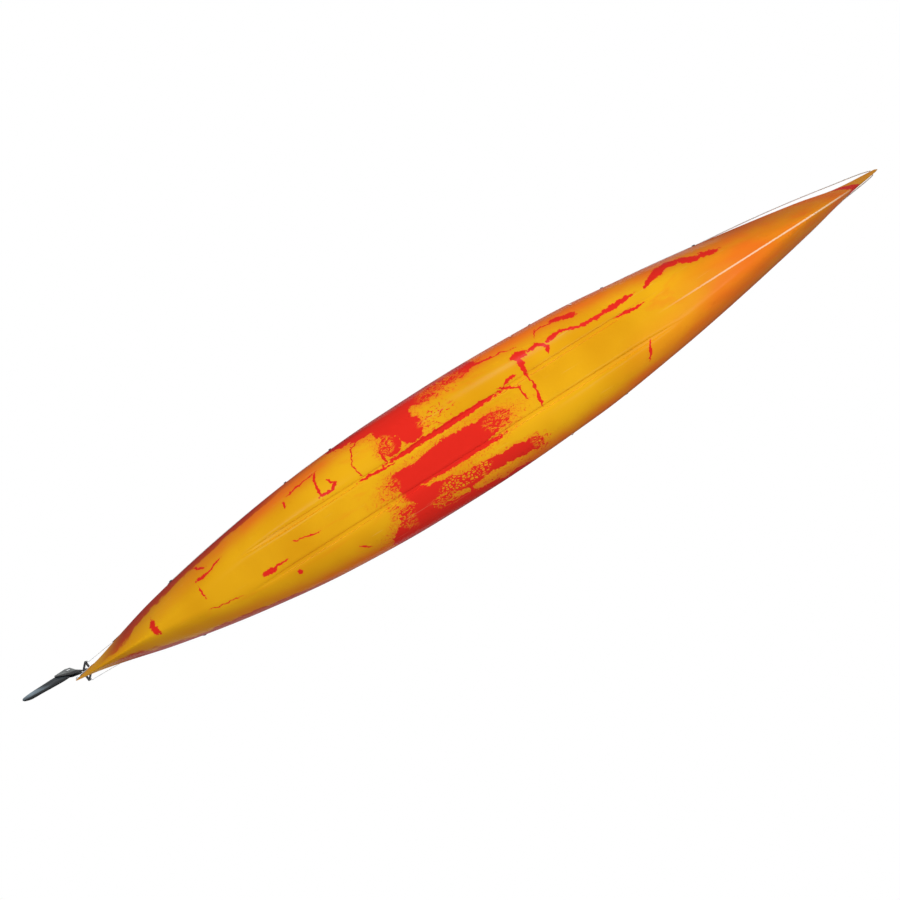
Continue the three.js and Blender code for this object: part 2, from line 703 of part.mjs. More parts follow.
function seatOutline(floorZ, inset) {
  const half = SEAT_WIDTH / 2 - inset;
  const low = floorZ + inset;
  const corner = SEAT_CORNER - inset;
  const outline = [];
  for (let k = 0; k <= BEND_STEPS; k++) {
    const turn = Math.PI / 2 * k / BEND_STEPS;
    outline.push([half - corner + corner * Math.sin(turn), low + corner - corner * Math.cos(turn)]);
  }
  outline.push([half, floorZ + SEAT_CHEEK_HEIGHT]);
  return outline;
}

// The pan rests where it first meets the bottom, on the channels or at its corners
function seatFloor() {
  const channelLip = (CHANNEL_SPACING + CHANNEL_WIDTH) / 2;
  const ends = [-1, 0, 1].map((end) => station(SEAT_X + end * SEAT_LENGTH / 2, WALL));
  const low = ends.map((at) => bottomZ(at, channelLip) + CHANNEL_DEPTH);
  for (const [y, z] of seatOutline(0, 0)) {
    low.push(...ends.map((at) => bottomZ(at, y) - z + 2 * CLEARANCE));
  }
  return Math.max(...low) + CLEARANCE;
}
const seatFloorZ = seatFloor();
const BACKREST_PIVOT_Z = seatFloorZ + BACKREST_PIVOT_HEIGHT;

function addSeat() {
  const outer = seatOutline(seatFloorZ, 0);
  const inner = seatOutline(seatFloorZ, SEAT_WALL);
  const mirrored = (points) => points.map(([y, z]) => [-y, z]).reverse();
  const ring = [...mirrored(outer), ...outer, ...[...inner].reverse(), ...mirrored([...inner].reverse())];
  const plan = new THREE.ExtrudeGeometry(polygon(ring), { depth: SEAT_LENGTH, bevelEnabled: false });
  plan.rotateX(Math.PI / 2);
  plan.rotateZ(Math.PI / 2);
  plan.translate(SEAT_X - SEAT_LENGTH / 2, 0, 0);
  let pan = solid(plan);
  const tabFarX = SEAT_X - SEAT_TAB_LENGTH / 2;
  const tabTurns = [-1, 1].map((end) => Math.acos(
    (SEAT_X + end * SEAT_TAB_LENGTH / 2 - COCKPIT_X) / (COCKPIT_LENGTH / 2),
  ));
  const tabY = Math.min(...tabTurns.map((turn) => ovalPoint(cockpit, turn, 0)[1])) - CLEARANCE;
  const tabTop = seatBoltZ + SEAT_BOLT_HEAD_RADIUS;
  const tabLow = seatFloorZ + SEAT_CHEEK_HEIGHT - SEAT_CORNER;
  for (const side of [1, -1]) {
    const half = SEAT_WIDTH / 2;
    const tab = polygon([
      [side * (half - SEAT_WALL), tabLow], [side * half, tabLow], [side * half, tabLow + SEAT_CORNER],
      [side * tabY, tabTop - 2 * SEAT_CORNER], [side * tabY, tabTop],
      [side * (tabY - SEAT_WALL), tabTop], [side * (tabY - SEAT_WALL), tabTop - 2 * SEAT_CORNER],
      [side * (half - SEAT_WALL), tabLow + SEAT_CORNER],
    ]);
    const strip = new THREE.ExtrudeGeometry(tab, { depth: SEAT_TAB_LENGTH, bevelEnabled: false });
    strip.rotateX(Math.PI / 2);
    strip.rotateZ(Math.PI / 2);
    strip.translate(tabFarX, 0, 0);
    pan = pan.add(solid(strip));
    const boltHole = crossRod(SEAT_BOLT_RADIUS + CLEARANCE, side * (half - SEAT_CORNER),
      side * COCKPIT_WIDTH / 2, SEAT_X, seatBoltZ);
    pan = pan.subtract(solid(boltHole));
    const pinHole = crossRod(BACKREST_PIN_RADIUS + CLEARANCE, side * (half - SEAT_CORNER),
      side * (half + OVERRUN), BACKREST_PIVOT_X, BACKREST_PIVOT_Z);
    pan = pan.subtract(solid(pinHole));
    const headIn = tabY - SEAT_WALL - CLEARANCE;
    const wallTurn = Math.acos((SEAT_X - COCKPIT_X) / (COCKPIT_LENGTH / 2));
    const wallY = ovalPoint(cockpit, wallTurn, WALL)[1];
    const bolt = solid(crossRod(SEAT_BOLT_RADIUS, side * (headIn - CLEARANCE),
      side * (wallY + 2 * SEAT_BOLT_RADIUS), SEAT_X, seatBoltZ))
      .add(solid(crossRod(SEAT_BOLT_HEAD_RADIUS, side * (headIn - SEAT_BOLT_HEAD_HEIGHT), side * headIn,
        SEAT_X, seatBoltZ)));
    add(side > 0 ? 'seat_bolt_left' : 'seat_bolt_right', shape(bolt), STEEL);
  }
  add('seat_pan', shape(pan), BLACK_PLASTIC);
}
addSeat();

function addSeatPad() {
  const bevel = SEAT_PAD_THICKNESS / 3;
  const halfLength = SEAT_LENGTH / 2 - SEAT_PAD_MARGIN - bevel;
  const halfWidth = SEAT_WIDTH / 2 - SEAT_CORNER - bevel;
  const corner = SEAT_CORNER;
  const outline = new THREE.Shape();
  outline.moveTo(-halfLength + corner, -halfWidth);
  outline.lineTo(halfLength - corner, -halfWidth);
  outline.quadraticCurveTo(halfLength, -halfWidth, halfLength, -halfWidth + corner);
  outline.lineTo(halfLength, halfWidth - corner);
  outline.quadraticCurveTo(halfLength, halfWidth, halfLength - corner, halfWidth);
  outline.lineTo(-halfLength + corner, halfWidth);
  outline.quadraticCurveTo(-halfLength, halfWidth, -halfLength, halfWidth - corner);
  outline.lineTo(-halfLength, -halfWidth + corner);
  outline.quadraticCurveTo(-halfLength, -halfWidth, -halfLength + corner, -halfWidth);
  const pad = new THREE.ExtrudeGeometry(outline, {
    depth: SEAT_PAD_THICKNESS - 2 * bevel,
    bevelThickness: bevel,
    bevelSize: bevel,
    bevelSegments: BEVEL_STEPS,
    curveSegments: BEND_STEPS,
  });
  pad.translate(SEAT_X, 0, seatFloorZ + SEAT_WALL + CLEARANCE + bevel);
  add('seat_pad', pad, FABRIC);
}
addSeatPad();

// Backrest: a curved band on two arms, whose pins turn in the cheeks of the seat
function addBackrest() {
  const half = backrestHalfWidth;
  const backX = BACKREST_PIVOT_X - BACKREST_REACH;
  const bow = BACKREST_THICKNESS * 2;
  const outline = new THREE.Shape();
  const inner = half - BACKREST_THICKNESS / 2;
  const bend = half * BACKREST_BEND_SHARE;
  outline.moveTo(backX + bow, -half);
  outline.quadraticCurveTo(backX - bow, -bend, backX - bow / 2, 0);
  outline.quadraticCurveTo(backX - bow, bend, backX + bow, half);
  outline.lineTo(backX + bow, inner);
  outline.quadraticCurveTo(backX - bow + BACKREST_THICKNESS, bend, backX - bow / 2 + BACKREST_THICKNESS, 0);
  outline.quadraticCurveTo(backX - bow + BACKREST_THICKNESS, -bend, backX + bow, -inner);
  const band = new THREE.ExtrudeGeometry(outline, {
    depth: BACKREST_DROP + BACKREST_RISE,
    bevelEnabled: false,
    curveSegments: ARCH_STEPS,
  });
  band.translate(0, 0, BACKREST_PIVOT_Z - BACKREST_DROP);
  let body = solid(band);
  const armLow = BACKREST_PIVOT_Z - BACKREST_ARM_HEIGHT / 2;
  for (const side of [1, -1]) {
    const [low, high] = side > 0 ? [inner, half] : [-half, -inner];
    body = body.add(solid(slab(backX + bow / 2, BACKREST_PIVOT_X + BACKREST_ARM_HEIGHT / 2, low, high,
      armLow, armLow + BACKREST_ARM_HEIGHT)));
    body = body.add(solid(crossRod(BACKREST_PIN_RADIUS, side * inner, side * (half + SEAT_WALL),
      BACKREST_PIVOT_X, BACKREST_PIVOT_Z)));
  }
  add('backrest', shape(body), FABRIC);
}
addBackrest();

// Thigh braces follow the inside of the coaming on both sides of its front half
function addThighBraces() {
  for (const side of [1, -1]) {
    const rings = [];
    for (let k = BRACE_START_STEP; k <= BRACE_END_STEP; k++) {
      const turn = 2 * Math.PI * k / OVAL_STEPS;
      const along = (k + 1 - BRACE_START_STEP) / (BRACE_END_STEP - BRACE_START_STEP + 2);
      const ends = Math.sin(Math.PI * along);
      const reach = BRACE_WALL * 2 + BRACE_REACH * ends;
      const high = (x) => coamingZ(x) - COAMING_LIP_THICKNESS;
      const [x, y] = ovalPoint(cockpit, turn, -CLEARANCE);
      const [inX, inY] = ovalPoint(cockpit, turn, -CLEARANCE - BRACE_WALL);
      const [farX, farY] = ovalPoint(cockpit, turn, -CLEARANCE - reach);
      const low = high(x) - BRACE_DROP;
      rings.push([
        [x, y, high(x)], [x, y, low], [farX, farY, low - BRACE_WALL],
        [farX, farY, low], [inX, inY, low + BRACE_WALL], [inX, inY, high(x)],
      ].map(([px, py, pz]) => new THREE.Vector3(px, side * py, pz)));
    }
    if (side < 0) rings.reverse();
    const brace = loft(rings, (p) => new THREE.Vector2(Math.hypot(p.x - COCKPIT_X, p.y), p.z));
    const body = solid(brace);
    add(side > 0 ? 'thigh_brace_left' : 'thigh_brace_right', shape(body), BLACK_PLASTIC);
  }
}
addThighBraces();

// Foot rails, their screws through the hull side, and the sliding rudder pedals
function addFootRails() {
  [1, -1].forEach((side, k) => {
    const name = side > 0 ? 'left' : 'right';
    const group = railGroups[k];
    const halfDepth = RAIL_DEPTH / 2;
    let rail = solid(slab(-railHalf, railHalf, -halfDepth, halfDepth, -RAIL_HEIGHT / 2, RAIL_HEIGHT / 2));
    const groove = slab(-railHalf + RAIL_HEIGHT, railHalf - RAIL_HEIGHT, -halfDepth / 3, halfDepth / 3,
      -RAIL_HEIGHT, -RAIL_HEIGHT / 4);
    rail = rail.subtract(solid(groove));
    add(`footrest_rail_${name}`, shape(rail), ALUMINIUM, group);
    const ends = { rear: -RAIL_SCREW_SPACING / 2, front: RAIL_SCREW_SPACING / 2 };
    for (const [place, x] of Object.entries(ends)) {
      const shank = solid(crossRod(RAIL_SCREW_RADIUS, side * (halfDepth + CLEARANCE),
        side * (halfDepth + screwReach), x, 0, SCREW_STEPS));
      const spacer = solid(crossRod(2 * RAIL_SCREW_RADIUS, side * (halfDepth + CLEARANCE),
        side * (halfDepth + RAIL_STANDOFF / 2), x, 0, SCREW_STEPS));
      const head = solid(crossRod(RAIL_SCREW_HEAD_RADIUS, side * (halfDepth + screwReach - CLEARANCE),
        side * (halfDepth + screwReach + RAIL_SCREW_HEAD_HEIGHT), x, 0, SCREW_STEPS));
      add(`footrest_screw_${name}_${place}`, shape(shank.add(spacer).add(head)), STEEL, group);
    }
    addPedal(side, name, group);
  });
}

function addPedal(side, name, group) {
  const lead = -side * CABLE_ARM * Math.sin(THREE.MathUtils.degToRad(YAW_AT_REST));
  const halfDepth = RAIL_DEPTH / 2 + CLEARANCE;
  const halfHeight = RAIL_HEIGHT / 2 + CLEARANCE;
  const halfLength = CARRIAGE_LENGTH / 2;
  const reachOut = halfDepth + CARRIAGE_WALL;
  let carriage = solid(slab(lead - halfLength, lead + halfLength, -reachOut, reachOut,
    -halfHeight - CARRIAGE_WALL, halfHeight + CARRIAGE_WALL));
  carriage = carriage.subtract(solid(slab(lead - halfLength - OVERRUN, lead + halfLength + OVERRUN,
    -halfDepth, halfDepth, -halfHeight, halfHeight)));
  const nearY = side > 0 ? -reachOut - PEDAL_WIDTH : reachOut - CARRIAGE_WALL;
  const farY = side > 0 ? -reachOut + CARRIAGE_WALL : reachOut + PEDAL_WIDTH;
  const plate = polygon([
    [lead, -PEDAL_HEIGHT / 3], [lead + PEDAL_WALL, -PEDAL_HEIGHT / 3],
    [lead + 3 * PEDAL_WALL, 2 * PEDAL_HEIGHT / 3], [lead + 2 * PEDAL_WALL, 2 * PEDAL_HEIGHT / 3],
  ]);
  const foot = acrossBoat(plate, farY - nearY);
  foot.translate(0, (farY + nearY) / 2, 0);
  let pedal = carriage.add(solid(foot));
  const rib = slab(lead + PEDAL_WALL / 2, lead + halfLength, nearY + PEDAL_WIDTH / 3, farY - PEDAL_WIDTH / 3,
    -PEDAL_WALL / 2, PEDAL_WALL / 2);
  pedal = pedal.add(solid(rib));
  pedal = pedal.subtract(solid(slab(lead - halfLength - OVERRUN, lead + halfLength + OVERRUN,
    -halfDepth, halfDepth, -halfHeight, halfHeight)));
  add(`rudder_pedal_${name}`, shape(pedal), BLACK_PLASTIC, group);
  pedalBacks.push(lead - halfLength);
}
const pedalBacks = [];
addFootRails();

// Conduits end short of the rails at the front
[1, -1].forEach((side, k) => {
  add(side > 0 ? 'cable_conduit_left' : 'cable_conduit_right', conduits[k], BLACK_PLASTIC);
});

// Hatch covers clip over the raised rims
function addHatchCover(name, hatch) {
  const rim = hatchRimZ(hatch);
  const always = (z) => () => z;
  const bore = WALL + CLEARANCE;
  const top = rim + CLEARANCE + HATCH_COVER_WALL;
  let cover = ovalSolid(hatch, bore + HATCH_COVER_WALL, always(rim - HATCH_COVER_SKIRT), always(top));
  const boreLow = rim - HATCH_COVER_SKIRT - OVERRUN;
  cover = cover.subtract(ovalSolid(hatch, bore, always(boreLow), always(rim + CLEARANCE)));
  const crown = ovalSolid(hatch, -HATCH_RIM_HEIGHT, always(rim + CLEARANCE + HATCH_COVER_WALL / 2),
    always(top + HATCH_COVER_WALL / 2));
  add(name, shape(cover.add(crown)), RUBBER);
}
addHatchCover('bow_hatch_cover', bowHatch);
addHatchCover('stern_hatch_cover', sternHatch);

// Rudder bracket: two cheeks clasp the stern and carry the tube that the pin turns in
function addRudderBracket() {
  const lowZ = TUBE_LOW_Z;
  const highZ = TUBE_LOW_Z + BRACKET_HEIGHT;
  const endX = STERN_X + BRACKET_REACH;
  const skin = (inset) => solid(loft([
    section(STERN_X, inset), section(STERN_X + BRACKET_REACH / 2, inset), section(endX + OVERRUN, inset),
  ].map((ring, k) => (k ? ring : ring.map((p) => new THREE.Vector3(p.x + inset, p.y, p.z)))),
  (p) => new THREE.Vector2(p.y, p.z)));
  let body = skin(-BRACKET_WALL - CLEARANCE);
  body = body.intersect(solid(slab(YAW_X, endX, -BEAM, BEAM, lowZ, highZ)));
  const webX = STERN_X - BRACKET_WALL;
  body = body.add(solid(slab(YAW_X, webX + OVERRUN, -TUBE_RADIUS / 2, TUBE_RADIUS / 2, lowZ, highZ)));
  body = body.subtract(skin(-CLEARANCE).add(solid(slab(STERN_X - CLEARANCE, endX + OVERRUN,
    -station(STERN_X).half - CLEARANCE, station(STERN_X).half + CLEARANCE, lowZ - OVERRUN, highZ + OVERRUN))));
  body = body.add(solid(post(TUBE_RADIUS, TUBE_LOW_Z, TUBE_HIGH_Z, YAW_X, 0)));
  const bore = post(PIN_RADIUS + CLEARANCE, TUBE_LOW_Z - OVERRUN, TUBE_HIGH_Z + OVERRUN, YAW_X, 0);
  body = body.subtract(solid(bore));
  add('rudder_bracket', shape(body), STEEL);
}
addRudderBracket();

// The yoke, housing and pin turn together about the tube
const yokeLowZ = TUBE_HIGH_Z + CLEARANCE;
const yokeHighZ = yokeLowZ + YOKE_THICKNESS;
const housingLowZ = yokeHighZ + CLEARANCE;
const housingBlockZ = housingLowZ + HOUSING_BLOCK_HEIGHT;

function addRudderPin() {
  const collarLow = TUBE_LOW_Z - CLEARANCE - PIN_COLLAR_HEIGHT;
  const shank = solid(post(PIN_RADIUS, collarLow, housingBlockZ, 0, 0));
  const collar = solid(post(PIN_COLLAR_RADIUS, collarLow, collarLow + PIN_COLLAR_HEIGHT, 0, 0));
  add('rudder_pivot_pin', shape(shank.add(collar)), STEEL, rudderHead);
}
addRudderPin();

function addYoke() {
  const hub = YOKE_HUB / 2;
  const base = YOKE_BASE / 2;
  const tip = YOKE_TIP / 2;
  const reach = CABLE_ARM + tip;
  const outline = polygon([
    [-base, -hub], [-tip, -reach], [tip, -reach], [base, -hub],
    [base, hub], [tip, reach], [-tip, reach], [-base, hub],
  ]);
  const flat = (drawing, depth, z) => {
    const plate = new THREE.ExtrudeGeometry(drawing, { depth, bevelEnabled: false });
    plate.translate(0, 0, z);
    return solid(plate);
  };
  const through = YOKE_THICKNESS + 2 * OVERRUN;
  let body = flat(outline, YOKE_THICKNESS, yokeLowZ);
  body = body.subtract(solid(post(PIN_RADIUS + CLEARANCE, yokeLowZ - OVERRUN, yokeHighZ + OVERRUN, 0, 0)));
  for (const side of [1, -1]) {
    const sill = hub * YOKE_WINDOW_SHARE;
    const opening = polygon([[-sill, side * hub], [sill, side * hub], [0, side * (reach - hub)]]);
    body = body.subtract(flat(opening, through, yokeLowZ - OVERRUN));
    body = body.subtract(solid(post(WIRE_RADIUS + CLEARANCE, yokeLowZ - OVERRUN, yokeHighZ + OVERRUN,
      0, side * CABLE_ARM, LINE_SIDES)));
  }
  add('rudder_yoke', shape(body), BLACK_PLASTIC, rudderHead);
}
addYoke();

// A link on each arm of the yoke takes the steering wire
function addLinks() {
  const lowZ = yokeHighZ + CLEARANCE;
  for (const side of [1, -1]) {
    const y = side * CABLE_ARM;
    const bar = solid(slab(-LINK_WIDTH / 2, LINK_LENGTH, y - LINK_WIDTH / 2, y + LINK_WIDTH / 2,
      lowZ, lowZ + LINK_THICKNESS));
    const stud = solid(post(WIRE_RADIUS, yokeLowZ, lowZ + LINK_THICKNESS / 2, 0, y, LINE_SIDES));
    add(side > 0 ? 'cable_link_left' : 'cable_link_right', shape(bar.add(stud)), STEEL, rudderHead);
  }
}
addLinks();

function addHousing() {
  const inner = BLADE_THICKNESS / 2 + HOUSING_GAP;
  const outer = inner + HOUSING_WALL;
  const reach = BLADE_PIVOT_REACH;
  const front = TUBE_RADIUS + HOUSING_WALL;
  const plates = CHEEK_POINTS.map(([ahead, above]) => [ahead - reach, BLADE_PIVOT_Z + above]);
  const cheek = polygon([
    [front, housingLowZ], [front, housingBlockZ], [-reach / 4, housingBlockZ + OVERRUN],
    ...plates, [-YOKE_BASE / 2 - 2 * HOUSING_WALL, housingLowZ],
  ]);
  let body = solid(acrossBoat(cheek, 2 * outer));
  const slotLow = -2 * reach;
  body = body.subtract(solid(slab(slotLow, -TUBE_RADIUS - 2 * HOUSING_WALL, -inner, inner, 0, DEPTH * 2)));
  body = body.subtract(solid(slab(slotLow, 2 * front, -inner, inner, housingBlockZ, DEPTH * 2)));
  body = body.subtract(solid(post(PIN_RADIUS + CLEARANCE, 0, DEPTH, 0, 0)));
  const boltHole = crossRod(PIVOT_BOLT_RADIUS + CLEARANCE, -2 * outer, 2 * outer, -reach, BLADE_PIVOT_Z);
  body = body.subtract(solid(boltHole));
  add('rudder_housing', shape(body), ALUMINIUM, rudderHead);
}
addHousing();

function addPivotBolt() {
  const outer = BLADE_THICKNESS / 2 + HOUSING_GAP + HOUSING_WALL + CLEARANCE;
  const tip = outer + PIVOT_BOLT_HEAD_HEIGHT;
  let bolt = solid(crossRod(PIVOT_BOLT_RADIUS, -tip, tip, -BLADE_PIVOT_REACH, BLADE_PIVOT_Z));
  for (const side of [1, -1]) {
    const end = side * (outer + PIVOT_BOLT_HEAD_HEIGHT);
    bolt = bolt.add(solid(crossRod(PIVOT_BOLT_HEAD_RADIUS, side * outer, end,
      -BLADE_PIVOT_REACH, BLADE_PIVOT_Z, HEX_SIDES)));
  }
  add('blade_pivot_bolt', shape(bolt), STEEL, rudderHead);
}
addPivotBolt();

// Blade, drawn hanging straight down from its pivot
function addBlade() {
  const root = BLADE_ROOT_RADIUS;
  const front = [];
  const rear = [];
  for (let k = 1; k <= BLADE_STEPS; k++) {
    const share = Math.sin(Math.PI / 2 * k / BLADE_STEPS);
    front.push([bladeFront(share) * BLADE_LENGTH, -share * BLADE_LENGTH]);
    rear.unshift([-bladeRear(share) * BLADE_LENGTH, -share * BLADE_LENGTH]);
  }
  const outline = new THREE.Shape();
  outline.moveTo(-root, 0);
  outline.absarc(0, 0, root, Math.PI, 0, true);
  for (const [ahead, above] of [...front, ...rear.slice(1)]) outline.lineTo(ahead, above);
  const plate = new THREE.ExtrudeGeometry(outline, {
    depth: BLADE_THICKNESS,
    bevelEnabled: false,
    curveSegments: ROUND_STEPS / 2,
  });
  plate.rotateX(Math.PI / 2);
  plate.translate(0, BLADE_THICKNESS / 2, 0);
  let blade = solid(plate);
  blade = blade.subtract(solid(crossRod(PIVOT_BOLT_RADIUS + CLEARANCE, -root, root, 0, 0)));
  add('rudder_blade', shape(blade), BLADE_PAINT, bladeGroup);
}
addBlade();

// Steering wires run from the conduits to the links at the rest angle
function addWires() {
  const turn = THREE.MathUtils.degToRad(YAW_AT_REST);
  const z = yokeHighZ + CLEARANCE + LINK_THICKNESS / 2;
  [1, -1].forEach((side) => {
    const localX = LINK_LENGTH + CLEARANCE + WIRE_RADIUS / 2;
    const localY = side * CABLE_ARM;
    const end = new THREE.Vector3(
      YAW_X + localX * Math.cos(turn) - localY * Math.sin(turn),
      localX * Math.sin(turn) + localY * Math.cos(turn),
      z,
    );
    const start = new THREE.Vector3(CONDUIT_EXIT_X, side * CONDUIT_EXIT_Y, CONDUIT_EXIT_Z);
    const gap = end.clone().sub(start).setLength(CLEARANCE + WIRE_RADIUS / 2);
    start.add(gap);
    const wire = cord([start.toArray(), start.clone().lerp(end, 0.5).toArray(), end.toArray()], WIRE_RADIUS, 2);
    add(side > 0 ? 'rudder_cable_left' : 'rudder_cable_right', wire, STEEL);
  });
}
addWires();

// Chock that the lifted blade drops into
function addChock() {
  const half = CHOCK_WIDTH / 2;
  const slot = BLADE_THICKNESS;
  const mouth = slot * CHOCK_MOUTH_SHARE;
  const floor = slot * CHOCK_FLOOR_SHARE;
  const low = station(CHOCK_X).crown;
  const nearest = CHOCK_X - CHOCK_LENGTH / 2 - YAW_X + BLADE_PIVOT_REACH;
  const restZ = BLADE_PIVOT_Z - bladeRear(nearest / BLADE_LENGTH) * BLADE_LENGTH;
  const outline = polygon([
    [-half, low], [half, low], [half, low + half / 2], [slot * 2, restZ + half],
    [mouth, restZ + half], [floor, restZ - 2 * CLEARANCE], [-floor, restZ - 2 * CLEARANCE],
    [-mouth, restZ + half], [-slot * 2, restZ + half], [-half, low + half / 2],
  ]);
  const block = new THREE.ExtrudeGeometry(outline, { depth: CHOCK_LENGTH, bevelEnabled: false });
  block.rotateX(Math.PI / 2);
  block.rotateZ(Math.PI / 2);
  block.translate(CHOCK_X - CHOCK_LENGTH / 2, 0, 0);
  add('rudder_stow_chock', seatOnHull(block, new THREE.Vector3(0, 0, 1)).seated, RUBBER);
}
addChock();

// A saddle eye with a hole along the boat for a line
function eye() {
  const half = EYE_LENGTH / 2;
  const base = slab(-half, half, -EYE_WIDTH / 2, EYE_WIDTH / 2, 0, EYE_BASE);
  const arch = new THREE.Shape();
  arch.moveTo(-EYE_WIDTH / 2, 0);
  arch.lineTo(EYE_WIDTH / 2, 0);
  arch.lineTo(EYE_WIDTH / 2, EYE_HEIGHT / 2);
  arch.absarc(0, EYE_HEIGHT / 2, EYE_WIDTH / 2, 0, Math.PI, false);
  arch.lineTo(-EYE_WIDTH / 2, 0);
  const settings = { depth: EYE_WIDTH, bevelEnabled: false, curveSegments: ARCH_STEPS };
  const upright = new THREE.ExtrudeGeometry(arch, settings);
  upright.rotateX(Math.PI / 2);
  upright.rotateZ(Math.PI / 2);
  upright.translate(-EYE_WIDTH / 2, 0, 0);
  const hole = new THREE.CylinderGeometry(EYE_HOLE_RADIUS, EYE_HOLE_RADIUS, EYE_LENGTH, SCREW_STEPS);
  hole.rotateZ(Math.PI / 2);
  hole.translate(0, 0, eyeLineHeight);
  return solid(base).add(solid(upright)).subtract(solid(hole));
}
const eyeLineHeight = EYE_BASE + EYE_HOLE_RADIUS + CLEARANCE;

function addEye(name, x, turn, side, quarter = 0) {
  const place = deckPlace(x, turn, side, 0);
  const geometry = shape(eye());
  geometry.rotateZ(quarter * Math.PI / 2);
  const across = place.normal.clone().cross(place.along);
  const basis = new THREE.Matrix4().makeBasis(place.along, across, place.normal);
  geometry.applyMatrix4(basis.setPosition(place.point));
  const { seated, lift } = seatOnHull(geometry, place.normal);
  add(name, seated, BLACK_PLASTIC);
  return place.point.clone().addScaledVector(place.normal, lift + eyeLineHeight);
}

const sideNames = { left: 1, right: -1 };
const bowHoles = {};
const sternHoles = {};
for (const [name, side] of Object.entries(sideNames)) {
  bowHoles[side] = BOW_EYES_X.map((x, k) => addEye(`bow_eye_${name}_${k + 1}`, x, EYE_TURN, side));
  sternHoles[side] = STERN_EYES_X.map((x, k) => addEye(`stern_eye_${name}_${k + 1}`, x, EYE_TURN, side));
}
const sternHandleHole = addEye('stern_handle_eye', STERN_TOGGLE_EYE_X, 0, 1, 1);
const bowHandleHole = addEye('bow_handle_eye', BOW_TOGGLE_EYE_X, 0, 1, 1);

// Perimeter lines run through the eyes along the edge of the deck, low in each hole
const lineDrop = EYE_HOLE_RADIUS - LINE_RADIUS - 2 * CLEARANCE;

function edgeRoute(holes, xs, side) {
  const points = [];
  xs.forEach((x, k) => {
    const place = deckPlace(x, EYE_TURN, side, 0);
    const centre = holes[k].clone().addScaledVector(place.normal, -lineDrop);
    const reach = EYE_LENGTH / 2;
    points.push(centre.clone().addScaledVector(place.along, -reach * Math.sign(x)));
    points.push(centre, centre.clone().addScaledVector(place.along, reach * Math.sign(x)));
    if (k === xs.length - 1) return;
    for (const share of [1 / 3, 2 / 3]) {
      points.push(deckPlace(x + (xs[k + 1] - x) * share, EYE_TURN, side, eyeLineHeight - lineDrop).point);
    }
  });
  return points.map((p) => p.toArray());
}

// From its last eyes the bow line runs to a hole through the tip, slack on the starboard side
function bowLineRoute(side) {
  const points = edgeRoute(bowHoles[side], BOW_EYES_X, side).map((p) => new THREE.Vector3(...p));
  const from = points[points.length - 1];
  const mouth = station(BOW_LINE_HOLE_X).half + 2 * LINE_RADIUS;
  const to = new THREE.Vector3(BOW_LINE_HOLE_X - 3 * LINE_RADIUS, side * mouth, bowLineHoleZ);
  for (let k = 1; k < BOW_LINE_SPANS; k++) {
    const share = k / BOW_LINE_SPANS;
    const point = from.clone().lerp(to, share);
    point.y += side * BOW_LINE_SLACK * Math.sin(Math.PI * share);
    points.push(side < 0 ? point : deckPlace(point.x, EYE_TURN, side, eyeLineHeight - lineDrop).point);
  }
  points.push(to, new THREE.Vector3(BOW_LINE_HOLE_X, to.y / 3, bowLineHoleZ));
  return points.map((p) => p.toArray());
}

function addBowLine() {
  const route = [...bowLineRoute(1), ...bowLineRoute(-1).reverse()];
  add('deck_line_bow', cord(route, LINE_RADIUS, 2), ROPE);
}
addBowLine();

for (const [name, side] of Object.entries(sideNames)) {
  const route = edgeRoute(sternHoles[side], STERN_EYES_X, side);
  add(`deck_line_stern_${name}`, cord(route, LINE_RADIUS, 2), ROPE);
}

// An elastic cord crosses the deck twice between two pairs of eyes, in the shape of an hourglass
function addBungee(name, fromX, toX, gap) {
  const inset = EYE_WIDTH + 2 * BUNGEE_RADIUS;
  const nearY = station(fromX).half - 2 * inset;
  const farY = station(toX).half - 2 * inset;
  const route = [];
  const pass = (x0, y0, x1, y1, over) => {
    for (let k = 0; k <= BUNGEE_SPANS; k++) {
      const t = k / BUNGEE_SPANS;
      const x = x0 + (x1 - x0) * t;
      const y = y0 + (y1 - y0) * t;
      const lift = BUNGEE_RADIUS + gap + over * Math.sin(Math.PI * t) ** CROSSING_POWER;
      route.push([x, y, deckZ(station(x), y) + lift]);
    }
  };
  const turnX = toX + Math.sign(toX - fromX) * 2 * inset;
  pass(fromX, nearY, toX, -farY, 0);
  pass(turnX, -farY + inset, turnX, farY - inset, 0);
  pass(toX, farY, fromX, -nearY, 3 * BUNGEE_RADIUS);
  add(name, cord(route, BUNGEE_RADIUS, 1), BUNGEE);
}
addBungee('foredeck_bungee', BOW_EYES_X[0], BOW_EYES_X[1], 4 * CLEARANCE);
addBungee('aftdeck_bungee', STERN_EYES_X[0], STERN_EYES_X[1], 3 * CLEARANCE);

// Lifting line for the rudder, from the bracket along the port side deck to a ball by the cockpit
function addLiftLine() {
  const points = [];
  const startX = STERN_X + BRACKET_REACH;
  const endX = COCKPIT_X - COCKPIT_LENGTH / 2 - BULKHEAD_THICKNESS;
  for (let k = 0; k <= LIFT_LINE_SPANS; k++) {
    const x = startX + (endX - startX) * k / LIFT_LINE_SPANS;
    const at = station(x);
    const y = Math.max(at.half - LIFT_LINE_INSET, at.half * LIFT_LINE_SHARE);
    points.push([x, y, deckZ(at, y) + LINE_RADIUS + 3 * CLEARANCE]);
  }
  const ball = new THREE.SphereGeometry(LIFT_BALL_RADIUS, ROUND_STEPS, ROUND_STEPS / 2);
  const last = points[points.length - 1];
  ball.translate(last[0], last[1], last[2] + LIFT_BALL_RADIUS - LINE_RADIUS);
  const body = solid(cord(points, LINE_RADIUS, 1)).add(solid(ball));
  add('rudder_lift_line', shape(body), ROPE);
}
addLiftLine();

